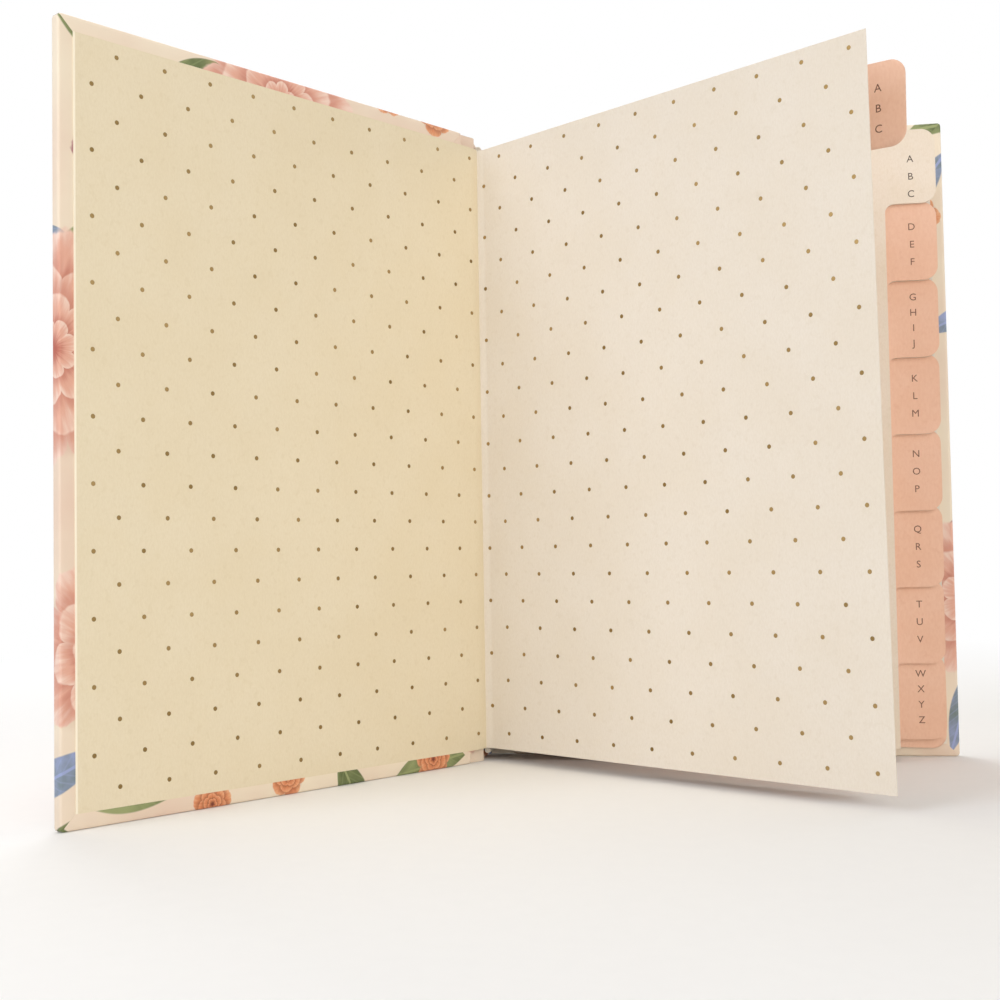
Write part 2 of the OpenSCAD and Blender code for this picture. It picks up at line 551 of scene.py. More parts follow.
class Bench:
    """A node tree, with short calls for adding and linking its nodes."""

    def __init__(self, tree: bpy.types.NodeTree) -> None:
        """Takes the tree to work on."""
        self.tree = tree

    def feed(self, socket: Socket, value: Feed) -> None:
        """Links a socket to another one, or sets its constant.

        Args:
            socket: Input to feed.
            value: Output to link it to, or its constant.
        """
        if isinstance(value, Socket):
            self.tree.links.new(value, socket)
        else:
            socket.default_value = value

    def node(self, kind: str, feeds: dict[Union[str, int], Feed], **settings: object) -> bpy.types.Node:
        """Adds a node.

        Args:
            kind: Type name of the node.
            feeds: Value or link of each input, by name or by index.
            settings: Properties of the node.

        Returns:
            The new node.
        """
        made = self.tree.nodes.new(kind)
        for name, value in settings.items():
            setattr(made, name, value)
        for key, value in feeds.items():
            self.feed(made.inputs[key], value)
        return made

    def first(self, kind: str, feeds: dict[Union[str, int], Feed], **settings: object) -> Socket:
        """First output of a new node."""
        return self.node(kind, feeds, **settings).outputs[0]

    def math(self, operation: str, *values: Feed) -> Socket:
        """Result of a math node on up to three values."""
        return self.first("ShaderNodeMath", dict(enumerate(values)), operation=operation)


class ShaderBench(Bench):
    """A material's node tree, with short calls for the nodes that the finishes use."""

    def __init__(self, name: str) -> None:
        """Starts a material that holds one principled shader.

        Args:
            name: Name of the material.
        """
        self.material = bpy.data.materials.new(name)
        self.material.use_nodes = True
        super().__init__(self.material.node_tree)
        self.tree.nodes.clear()
        self.shader = self.node("ShaderNodeBsdfPrincipled", {})
        self.output = self.node("ShaderNodeOutputMaterial", {"Surface": self.shader.outputs[0]})

    def object_place(self) -> Socket:
        """Place of the shaded point on the object, in metres."""
        return self.node("ShaderNodeTexCoord", {}).outputs["Object"]

    def sheet_place(self) -> Socket:
        """Place of the shaded point on the flat printed sheet, in metres."""
        return self.node("ShaderNodeUVMap", {}, uv_map=SHEET_MAP).outputs["UV"]

    def vector(self, operation: str, *values: Feed) -> Socket:
        """Result of a vector math node on two vectors."""
        return self.first("ShaderNodeVectorMath", dict(enumerate(values)), operation=operation)

    def scaled(self, place: Socket, factors: Sequence[float]) -> Socket:
        """A place stretched by a factor along each axis."""
        return self.vector("MULTIPLY", place, factors)

    def noise(self, place: Socket, scale: float, detail: float) -> Socket:
        """Even noise from 0 to 1 with features of about one over scale."""
        return self.first("ShaderNodeTexNoise", {"Vector": place, "Scale": scale, "Detail": detail})

    def grain(self, place: Socket, size: float, detail: float) -> Socket:
        """Even noise from 0 to 1 with features of about a size in millimetres."""
        return self.noise(place, 1 / (size * MM), detail)

    def grid(self, place: Socket, cell: float, shift: Flat) -> Socket:
        """A place in cells of a size in millimetres, shifted by some cells."""
        return self.vector("ADD", self.scaled(place, [1 / (cell * MM)] * 3), (*shift, 0.0))

    def cells(self, grid: Socket, scatter: float, feature: str = "F1") -> bpy.types.bpy_prop_collection:
        """Outputs of a cell texture on a flat grid, with its points scattered by a share."""
        feeds = {"Vector": grid, "Scale": 1.0, "Randomness": scatter}
        return self.node("ShaderNodeTexVoronoi", feeds, voronoi_dimensions="2D", feature=feature).outputs

    def ease(self, value: Feed, low: float, high: float, first: float = 0.0, last: float = 1.0) -> Socket:
        """Eases a value between low and high into the range from first to last."""
        feeds = {"Value": value, "From Min": low, "From Max": high, "To Min": first, "To Max": last}
        return self.first("ShaderNodeMapRange", feeds, interpolation_type="SMOOTHSTEP")

    def mix(self, share: Feed, first: Feed, second: Feed) -> Socket:
        """Mixes two colours, on the node's colour sockets, by a share of the second one."""
        feeds = {0: share, 6: first, 7: second}
        return self.node("ShaderNodeMix", feeds, data_type="RGBA").outputs[2]

    def parts(self, value: Socket, kind: str) -> bpy.types.bpy_prop_collection:
        """Splits a vector (kind XYZ) or a colour (kind Color) into its parts."""
        return self.node(f"ShaderNodeSeparate{kind}", {0: value}).outputs

    def bump(self, height: Socket, depth: float) -> None:
        """Gives the shader a fine relief of a depth in millimetres."""
        feeds = {"Height": height, "Distance": depth * MM, "Strength": 1.0}
        self.feed(self.shader.inputs["Normal"], self.first("ShaderNodeBump", feeds))

    def dress(self, **feeds: Feed) -> bpy.types.Material:
        """Sets inputs of the shader.

        Args:
            feeds: Value or link of each input, with underscores for spaces in its name.

        Returns:
            The material.
        """
        for name, value in feeds.items():
            self.feed(self.shader.inputs[name.replace("_", " ")], value)
        return self.material


@dataclass(frozen=True)
class PaperFinish:
    """Uncoated paper or card: a cloudy tone, short fibres and a dry surface.

    Attributes:
        name: Name of the material.
        colour: Main tone.
        cloud: Tone of the clouds.
        fleck: Tone of the flecks and fibres.
        fibre: Size of the fibres.
        fleck_share: Strength of the flecks.
        relief: Depth of the fibres.
        roughness: Least and most roughness.
        lip: Tone of a painted highlight along the sheet's first edge, where it has one, standing for that edge
            catching the light.
        painted_highlight_span: Where that painted highlight ends and where it is full, from the edge.
        cloud_size: Size of the clouds.
        fleck_size: Size of the flecks.
        fleck_span: Noise at which flecks start and are full.
        fibre_span: Noise at which fibres start and are full.
        fibre_share: Strength of the fibres' tone.
        fibre_run: Factor on the height, which draws the fibres out upright.
        shine: Specular level.
    """

    name: str
    colour: str
    cloud: str
    fleck: str
    fibre: float = 0.35
    fleck_share: float = 0.25
    relief: float = 0.012
    roughness: Span = (0.72, 0.88)
    lip: str = ""
    painted_highlight_span: Span = (0.55, 0.25)
    cloud_size: float = 18.0
    fleck_size: float = 1.4
    fleck_span: Span = (0.56, 0.72)
    fibre_span: Span = (0.35, 0.65)
    fibre_share: float = 0.22
    fibre_run: float = 0.45
    shine: float = 0.3

    def material(self) -> bpy.types.Material:
        """Builds the paper's material.

        Returns:
            The material.
        """
        bench = ShaderBench(self.name)
        place = bench.object_place()
        clouds = bench.grain(place, self.cloud_size, detail=4.0)
        fibres = bench.grain(bench.scaled(place, (1.0, 1.0, self.fibre_run)), self.fibre, detail=5.0)
        flecks = bench.ease(bench.grain(place, self.fleck_size, detail=2.0), *self.fleck_span)
        tone = bench.mix(bench.ease(clouds, *NOISE_SPAN), tint(self.colour), tint(self.cloud))
        tone = bench.mix(bench.math("MULTIPLY", flecks, self.fleck_share), tone, tint(self.fleck))
        tone = bench.mix(bench.ease(fibres, *self.fibre_span, 0.0, self.fibre_share), tone, tint(self.fleck))
        # The lip is a painted highlight: a paler band along the sheet's first edge.
        if self.lip:
            run = bench.parts(bench.sheet_place(), "XYZ")[0]
            tone = bench.mix(bench.ease(run, *[far * MM for far in self.painted_highlight_span]), tone, tint(self.lip))
        bench.bump(fibres, self.relief)
        return bench.dress(Base_Color=tone, Roughness=bench.ease(fibres, *NOISE_SPAN, *self.roughness),
                           Specular_IOR_Level=self.shine)


@dataclass(frozen=True)
class FoilFinish:
    """Stamped metal foil: brushed by the die, with lighter patches of painted sheen.

    Attributes:
        name: Name of the material.
        colour: Main tone.
        painted_sheen: Lighter tone of the painted sheen patches.
        painted_sheen_size: Size of the painted sheen patches.
        painted_sheen_span: Noise at which the painted sheen starts and is full.
        grain_size: Size of the grain.
        relief: Depth of the grain.
        roughness: Least and most roughness.
        metal: Share of metal in the shine.
    """

    name: str
    colour: str
    painted_sheen: str
    painted_sheen_size: float = 30.0
    painted_sheen_span: Span = (0.35, 0.65)
    grain_size: float = 0.12
    relief: float = 0.006
    roughness: Span = (0.26, 0.44)
    metal: float = 0.85

    def material(self) -> bpy.types.Material:
        """Builds the foil's material.

        Returns:
            The material.
        """
        bench = ShaderBench(self.name)
        place = bench.object_place()
        # Lighter patches over the foil are painted sheen.
        sheen_patches = bench.grain(place, self.painted_sheen_size, detail=2.0)
        grain = bench.grain(place, self.grain_size, detail=3.0)
        tone = bench.mix(bench.ease(sheen_patches, *self.painted_sheen_span), tint(self.colour), tint(self.painted_sheen))
        bench.bump(grain, self.relief)
        return bench.dress(Base_Color=tone, Metallic=self.metal,
                           Roughness=bench.ease(grain, *NOISE_SPAN, *self.roughness))


@dataclass(frozen=True)
class InkFinish:
    """Printing ink that lies thinly on card.

    Attributes:
        name: Name of the material.
        colour: Main tone.
        thin: Tone where the ink is thin.
        mottle_size: Size of the mottle.
        mottle_span: Noise at which the ink starts to thin and is thinnest.
        roughness: Least and most roughness.
    """

    name: str
    colour: str
    thin: str
    mottle_size: float = 0.3
    mottle_span: Span = (0.4, 0.75)
    roughness: Span = (0.5, 0.7)

    def material(self) -> bpy.types.Material:
        """Builds the ink's material.

        Returns:
            The material.
        """
        bench = ShaderBench(self.name)
        mottle = bench.grain(bench.object_place(), self.mottle_size, detail=3.0)
        tone = bench.mix(bench.ease(mottle, *self.mottle_span), tint(self.colour), tint(self.thin))
        return bench.dress(Base_Color=tone, Roughness=bench.ease(mottle, *NOISE_SPAN, *self.roughness))


@dataclass(frozen=True)
class WeaveFinish:
    """Cotton cloth or thread with crossing yarns.

    Attributes:
        name: Name of the material.
        colour: Tone of the yarns.
        painted_shade: Darker tone between the yarns, a painted shade where they dip.
        shade_to: Height of the yarn at which the painted shade ends.
        yarn: Distance between yarns.
        shade_to: Height of the yarn at which the shade ends.
        relief: Depth of the yarns.
        roughness: Roughness between the yarns and on them.
        fuzz: Weight of the soft sheen.
    """

    name: str
    colour: str
    painted_shade: str
    yarn: float
    shade_to: float = 0.7
    relief: float = 0.06
    roughness: Span = (0.95, 0.8)
    fuzz: float = 0.2

    def material(self) -> bpy.types.Material:
        """Builds the cloth's material.

        Returns:
            The material.
        """
        bench = ShaderBench(self.name)
        place = bench.scaled(bench.object_place(), [math.pi / (self.yarn * MM)] * 3)
        across, along, up = bench.parts(place, "XYZ")[:3]
        warp = bench.math("ABSOLUTE", bench.math("SINE", bench.math("ADD", across, along)))
        weft = bench.math("ABSOLUTE", bench.math("SINE", up))
        cloth = bench.math("MULTIPLY", warp, weft)
        # The darker tone where the yarns dip is painted shade.
        tone = bench.mix(bench.ease(cloth, 0.0, self.shade_to), tint(self.painted_shade), tint(self.colour))
        bench.bump(cloth, self.relief)
        return bench.dress(Base_Color=tone, Roughness=bench.ease(cloth, 0.0, 1.0, *self.roughness),
                           Sheen_Weight=self.fuzz)


@dataclass(frozen=True)
class BlossomLayer:
    """Round flowers scattered over the sheet, at most one to a cell of an uneven grid.

    Attributes:
        cell: Size of a cell.
        radius: Radius of the largest flowers, in cells.
        petals: Petals in a whorl.
        share: Share of the cells that hold a flower.
        seed: Shift of the grid, in cells.
        heart: Tone of the middle and of the shadows.
        petal: Tone of the petals.
        rim: Tone of their rims.
        scatter: How far the cells are from even.
        smallest: Radius of the smallest flowers as a share of the largest.
        whorls: Size of each whorl as a share of the flower, and its turn as a share of a petal.
        lobe: Reach between two petals, and what a petal adds.
        lobe_power: How blunt the petals are.
        ruffle: How much the outline wavers.
        ruffle_size: Size of the wavers, in cells.
        vein: How much the veins shift the tone.
        vein_run: Closeness of the veins round the flower and along a petal.
        vein_scale: Fineness of the veins.
        inside: Share of the reach at which a petal is full.
        shadow: How far a whorl's shadow reaches, and its strength.
        petal_span: Where the heart's tone ends and the petal's is full.
        rim_span: Where the rim's tone starts and is full.
    """

    cell: float
    radius: float
    petals: int
    share: float
    seed: float
    heart: str
    petal: str
    rim: str
    scatter: float = 0.6
    smallest: float = 0.75
    whorls: tuple[Flat, ...] = ((1.0, 0.0), (0.72, 0.5), (0.47, 0.1), (0.25, 0.6))
    lobe: Span = (0.78, 0.24)
    lobe_power: float = 0.5
    ruffle: float = 0.16
    ruffle_size: float = 0.06
    vein: float = 0.7
    vein_run: Flat = (5.0, 4.0)
    vein_scale: float = 2.2
    inside: float = 0.955
    shadow: Span = (1.32, 0.34)
    petal_span: Span = (0.15, 0.75)
    rim_span: Span = (0.7, 1.1)

    def paint(self, bench: ShaderBench, place: Socket, ground: Feed) -> Socket:
        """Paints the flowers over what is already on the sheet.

        Args:
            bench: Material in the making.
            place: Place on the flat sheet.
            ground: Colour below.

        Returns:
            The colour with the flowers.
        """
        grid = bench.grid(place, self.cell, (self.seed, self.seed))
        cells = bench.cells(grid, self.scatter)
        far = cells["Distance"]
        dice = bench.parts(cells["Color"], "Color")
        offset = bench.parts(bench.vector("SUBTRACT", grid, cells["Position"]), "XYZ")
        turn = bench.math("MULTIPLY_ADD", dice[0], math.tau, bench.math("ARCTAN2", offset[1], offset[0]))
        present = bench.math("LESS_THAN", dice[1], self.share)
        size = bench.math("MULTIPLY_ADD", dice[2], (1 - self.smallest) * self.radius,
                          self.smallest * self.radius)
        ruffle = bench.math("MULTIPLY_ADD", bench.grain(place, self.ruffle_size * self.cell, detail=2.0),
                            self.ruffle, 1 - self.ruffle / 2)
        polar = bench.first("ShaderNodeCombineXYZ", {0: bench.math("MULTIPLY", turn, self.vein_run[0]),
                                                     1: bench.math("MULTIPLY", far, self.vein_run[1]),
                                                     2: dice[2]})
        veins = bench.math("MULTIPLY_ADD", bench.noise(polar, self.vein_scale, detail=3.0),
                           self.vein, -self.vein / 2)
        colour = ground
        for whorl, (share, lag) in enumerate(self.whorls):
            wave = bench.math("SINE", bench.math("MULTIPLY_ADD", turn, self.petals / 2, math.pi * lag))
            lobe = bench.math("POWER", bench.math("ABSOLUTE", wave), self.lobe_power)
            reach = bench.math("MULTIPLY_ADD", lobe, self.lobe[1] * share, self.lobe[0] * share)
            reach = bench.math("MULTIPLY", bench.math("MULTIPLY", size, reach), ruffle)
            along = bench.math("DIVIDE", far, reach)
            inside = bench.math("MULTIPLY", bench.ease(along, 1.0, self.inside), present)
            if whorl:
                shadow = bench.ease(along, self.shadow[0], 1.0, 0.0, self.shadow[1])
                colour = bench.mix(bench.math("MULTIPLY", shadow, present), colour, tint(self.heart))
            age = bench.math("ADD", along, veins)
            tone = bench.mix(bench.ease(age, *self.petal_span), tint(self.heart), tint(self.petal))
            tone = bench.mix(bench.ease(age, *self.rim_span), tone, tint(self.rim))
            colour = bench.mix(inside, colour, tone)
        return colour


@dataclass(frozen=True)
class LeafLayer:
    """Pointed leaves scattered over the sheet, each turned its own way.

    Attributes:
        cell: Size of a cell, which holds one leaf at most.
        length: Half the length of the largest leaves, in cells.
        width: Half their width, in cells.
        share: Share of the cells that hold a leaf.
        seed: Shift of the grid, in cells.
        blade: Tone of the leaf.
        light: Tone of its veins and of its light parts.
        scatter: How far the cells are from even.
        belly: How far the widest part lies towards the stalk.
        soft: Width of the soft edge, in cells.
        rib_slant: Slant of the ribs.
        rib_count: Closeness of the ribs.
        rib_span: Wave at which a rib starts and is full.
        rib_share: Strength of the ribs.
        vein_span: Where the middle vein ends and is full, from the middle line.
        wash_size: Size of the light parts, in cells.
    """

    cell: float
    length: float
    width: float
    share: float
    seed: float
    blade: str
    light: str
    scatter: float = 0.5
    belly: float = 0.3
    soft: float = 0.012
    rib_slant: float = 1.4
    rib_count: float = 70.0
    rib_span: Span = (0.6, 1.0)
    rib_share: float = 0.3
    vein_span: Span = (0.014, 0.006)
    wash_size: float = 0.25

    def paint(self, bench: ShaderBench, place: Socket, ground: Feed) -> Socket:
        """Paints the leaves over what is already on the sheet, each within the room that its cell has.

        Args:
            bench: Material in the making.
            place: Place on the flat sheet.
            ground: Colour below.

        Returns:
            The colour with the leaves.
        """
        grid = bench.grid(place, self.cell, (self.seed, -self.seed))
        cells = bench.cells(grid, self.scatter)
        room = bench.cells(grid, self.scatter, "N_SPHERE_RADIUS")["Radius"]
        size = bench.math("MINIMUM", 1.0, bench.math("DIVIDE", room, self.length))
        dice = bench.parts(cells["Color"], "Color")
        offset = bench.vector("SUBTRACT", grid, cells["Position"])
        angle = bench.math("MULTIPLY", dice[0], math.tau)
        spun = bench.first("ShaderNodeVectorRotate", {"Vector": offset, "Angle": angle},
                           rotation_type="Z_AXIS")
        spot = bench.parts(bench.vector("DIVIDE", spun, size), "XYZ")
        reach = bench.math("DIVIDE", spot[0], self.length)
        side = bench.math("ABSOLUTE", spot[1])
        taper = bench.math("SUBTRACT", 1.0, bench.math("MULTIPLY", reach, reach))
        half = bench.math("MULTIPLY_ADD", reach, -self.belly * self.width, self.width)
        edge = bench.math("SUBTRACT", bench.math("MULTIPLY", taper, half), side)
        inside = bench.math("MULTIPLY", bench.ease(edge, 0.0, self.soft),
                            bench.math("LESS_THAN", dice[1], self.share))
        inside = bench.math("MULTIPLY", inside, bench.math("GREATER_THAN", taper, 0.0))
        slant = bench.math("MULTIPLY_ADD", side, -self.rib_slant, spot[0])
        ribs = bench.math("SINE", bench.math("MULTIPLY", slant, self.rib_count))
        wash = bench.grain(place, self.wash_size * self.cell, detail=3.0)
        tone = bench.mix(bench.ease(wash, *NOISE_SPAN), tint(self.blade), tint(self.light))
        tone = bench.mix(bench.ease(ribs, *self.rib_span, 0.0, self.rib_share), tone, tint(self.light))
        tone = bench.mix(bench.ease(side, *self.vein_span), tone, tint(self.light))
        return bench.mix(inside, ground, tone)


@dataclass(frozen=True)
class PrintFinish:
    """Laminated covering paper with a loose floral print on an ivory ground.

    Attributes:
        name: Name of the material.
        ground: Tone of the ground.
        wash: Tone of its washes.
        layers: Layers of the print, from the lowest.
        wash_size: Size of the washes.
        wash_span: Noise at which a wash starts and is full.
        grain_size: Size of the laminate's grain.
        relief: Depth of the grain.
        roughness: Least and most roughness.
        shine: Specular level.
    """

    name: str
    ground: str
    wash: str
    layers: tuple[Union[BlossomLayer, LeafLayer], ...]
    wash_size: float = 45.0
    wash_span: Span = (0.35, 0.7)
    grain_size: float = 0.25
    relief: float = 0.01
    roughness: Span = (0.42, 0.56)
    shine: float = 0.4

    def material(self) -> bpy.types.Material:
        """Builds the printed paper's material.

        Returns:
            The material.
        """
        bench = ShaderBench(self.name)
        place = bench.sheet_place()
        washes = bench.grain(place, self.wash_size, detail=4.0)
        grain = bench.grain(place, self.grain_size, detail=4.0)
        colour = bench.mix(bench.ease(washes, *self.wash_span), tint(self.ground), tint(self.wash))
        for layer in self.layers:
            colour = layer.paint(bench, place, colour)
        bench.bump(grain, self.relief)
        return bench.dress(Base_Color=colour, Roughness=bench.ease(grain, *NOISE_SPAN, *self.roughness),
                           Specular_IOR_Level=self.shine)


FLORAL_PRINT = PrintFinish("cover_print_floral", ground="#EFE3CE", wash="#E6CDBB", layers=(
    LeafLayer(cell=42, length=0.46, width=0.15, share=0.85, seed=3.7, blade="#5E6B40", light="#9AA371"),
    LeafLayer(cell=34, length=0.44, width=0.12, share=0.55, seed=8.2, blade="#6F7F7C", light="#9AA7D2"),
    BlossomLayer(cell=24, radius=0.26, petals=5, share=0.34, seed=1.3,
                 heart="#7A3A2C", petal="#D98A5E", rim="#E8B088"),
    BlossomLayer(cell=42, radius=0.34, petals=6, share=0.45, seed=6.7,
                 heart="#4A261C", petal="#8C4A44", rim="#B98A92"),
    BlossomLayer(cell=64, radius=0.42, petals=8, share=0.6, seed=4.6,
                 heart="#B5604F", petal="#E2AC98", rim="#F1D6C8")))
# Pastedowns and flyleaves are one ivory endpaper: the pastedowns' warmer, darker copy is painted shade, and the
# flyleaves' paler copy is painted light.
ENDPAPER_SHADED_COPY = PaperFinish("endpaper_ivory_painted_shade", colour="#E8DCC2", cloud="#E6D9BD", fleck="#DBCCAC",
                          # Its lip is a painted highlight along the pastedowns' fore-edges.
                          lip="#FBF3E0")
ENDPAPER_LIT_COPY = PaperFinish("endpaper_pale_painted_light", colour="#EAE2D7", cloud="#E8DFD2", fleck="#DDD2C2")
CREAM_PAPER = PaperFinish("writing_paper_cream", colour="#EDE3D5", cloud="#EADECC", fleck="#DDCFB9")
BLUSH_CARD = PaperFinish("divider_card_blush", colour="#EFC8B1", cloud="#ECC2A9", fleck="#E1B196",
                         fibre=0.5)
GREY_BOARD = PaperFinish("greyboard_flecked", colour="#9C978E", cloud="#8F8A82", fleck="#6E6963",
                         fibre=0.8, fleck_share=0.7, relief=0.04)
# The foil's lighter second tone is painted sheen.
GOLD_FOIL = FoilFinish("foil_old_gold", colour="#8F7547", painted_sheen="#AB8F5E")
BROWN_INK = InkFinish("ink_brown", colour="#6B4636", thin="#85604D")
DARK_INK = InkFinish("ink_dark", colour="#3C2E28", thin="#54433B")
# The second tone of the gauze and of the band thread is painted shade between their yarns.
MULL_GAUZE = WeaveFinish("gauze_cotton", colour="#EFE9DC", painted_shade="#C9BFAA", yarn=0.6)
BAND_THREAD = WeaveFinish("band_thread", colour="#F2EDE2", painted_shade="#CFC4B0", yarn=0.25)


@dataclass
class Panel:
    """A board in its covering: round edges, turn-ins with mitred corners, and a bare middle inside.

    Attributes:
        name: Name of the piece.
        body: Body that it moves with.
        node: Node that it replaces.
        place: Where the panel lies.
        reach: Its joint edge and its fore-edge.
        height: Its tail and its head.
        depth: Its inner and its outer face.
        sheet_start: Place of the joint edge along the flat sheet.
        sheet_way: Direction along the flat sheet, 1 or -1.
        turn_in: Width of the turn-ins.
        edge_r: Radius of the covered edges.
        corner_r: Radius of the corners.
        paper: Thickness of the covering.
        overlap: How far the turn-ins at head and tail stand above the others.
        lip: Width over which they rise.
        steps: Chords in a quarter turn.
    """

    name: str
    body: str
    node: str
    place: Placement
    reach: Flat
    height: Flat
    depth: Flat
    sheet_start: float
    sheet_way: float
    turn_in: float = 15.0
    edge_r: float = 0.5
    corner_r: float = 0.9
    paper: float = 0.22
    overlap: float = 0.07
    lip: float = 0.15
    steps: int = 4

    def outline(self, inset: float) -> list[Flat]:
        """Outline of the panel at some distance inside its edges.

        Args:
            inset: Distance from the edges.

        Returns:
            Points of reach and height, round the panel from its tail corner at the joint.
        """
        radius = max(self.corner_r - inset, 0.0)
        low, high = self.reach[0] + inset + radius, self.reach[1] - inset - radius
        tail, head = self.height[0] + inset + radius, self.height[1] - inset - radius
        centres = ((low, tail, 180), (high, tail, 270), (high, head, 360), (low, head, 450))
        return [point for x, z, turn in centres for point in arc((x, z), radius, turn, turn + 90, self.steps)]

    def rim(self) -> list[Triple]:
        """Section through the covered edge, from the outer face to the inner one.

        Returns:
            Inset, depth and run along the paper for each point.
        """
        inner, outer = self.depth
        turns = [math.pi / 2 * k / self.steps for k in range(self.steps + 1)]
        round_run = self.edge_r * math.pi / 2
        wall = outer - inner - 2 * self.edge_r
        over = [(self.edge_r * (1 - math.sin(t)), outer - self.edge_r * (1 - math.cos(t)), self.edge_r * t)
                for t in turns]
        under = [(self.edge_r * (1 - math.cos(t)), inner + self.edge_r * (1 - math.sin(t)),
                  round_run + wall + self.edge_r * t) for t in turns]
        return over + under

    def edge_of(self, index: int) -> Edge:
        """Edge that a numbered stretch of the outline belongs to."""
        corner, step = divmod(index, self.steps + 1)
        return Edge(corner if step >= self.steps / 2 else (corner - 1) % len(Edge))

    def sheet_spot(self, edge: Edge, spot: Flat, run: float) -> Flat:
        """Place on the flat sheet of a point on a covered edge.

        Args:
            edge: Edge that the point is folded over.
            spot: Reach and height of the point.
            run: Run along the paper from the outer face.

        Returns:
            The place on the sheet.
        """
        past = run - self.edge_r
        reach, height = spot
        if edge is Edge.FORE:
            reach = self.reach[1] + past
        elif edge is Edge.JOINT:
            reach = self.reach[0] - past
        elif edge is Edge.HEAD:
            height = self.height[1] + past
        else:
            height = self.height[0] - past
        return self.sheet_start + self.sheet_way * (reach - self.reach[0]), height

    def build(self, material: bpy.types.Material) -> None:
        """Builds the covering and puts it on its body.

        Args:
            material: Finish of the covering.
        """
        draft = Draft()
        rows = [(self.outline(inset), depth, run) for inset, depth, run in self.rim()]
        rings = [[draft.corner(self.place.point(a, depth, z)) for a, z in spots] for spots, depth, _ in rows]
        face_spots = rows[0][0]
        draft.face(rings[0], [self.sheet_spot(Edge.FORE, (a, z), a - self.reach[1] + self.edge_r)
                              for a, z in face_spots])
        size = len(face_spots)
        for low in range(len(rows) - 1):
            for k in range(size):
                n, edge = (k + 1) % size, self.edge_of(k)
                quad = ((low, k), (low, n), (low + 1, n), (low + 1, k))
                draft.face([rings[i][j] for i, j in quad],
                           [self.sheet_spot(edge, rows[i][0][j], rows[i][2]) for i, j in quad])
        self.turn_ins(draft, rings[-1], rows[-1])
        shell = draft.piece(self.name, material, outside=Vector((*self.place.outward, 0)))
        wall = shell.modifiers.new("paper", "SOLIDIFY")
        wall.thickness, wall.offset = self.paper * MM, -1.0
        mesh = plain_mesh(shell)
        mesh.name = self.name
        settle(linked(self.name, mesh), self.body, Slot.COVER_PRINT, self.node)

    def turn_ins(self, draft: Draft, ring: Sequence[bmesh.types.BMVert],
                 row: tuple[list[Flat], float, float]) -> None:
        """Adds the flat turn-ins, where those at head and tail lie over the others at the mitres.

        Args:
            draft: Mesh of the covering.
            ring: Last ring of the covered edge.
            row: Its points, depth and run.
        """
        spots, depth, run = row
        lips, ends = self.outline(self.edge_r + self.lip), self.outline(self.turn_in)
        for k in range(len(spots)):
            n, edge = (k + 1) % len(spots), self.edge_of(k)
            level = depth - (self.overlap if edge in (Edge.HEAD, Edge.TAIL) else 0.0)
            low = [ring[k], ring[n]]
            low_places = [self.sheet_spot(edge, spots[j], run) for j in (k, n)]
            for outline, far in ((lips, run + self.lip), (ends, run + self.turn_in - self.edge_r)):
                high = [draft.corner(self.place.point(outline[j][0], level, outline[j][1])) for j in (k, n)]
                high_places = [self.sheet_spot(edge, outline[j], far) for j in (k, n)]
                draft.face((low[0], low[1], high[1], high[0]),
                           (low_places[0], low_places[1], high_places[1], high_places[0]))
                low, low_places = high, high_places


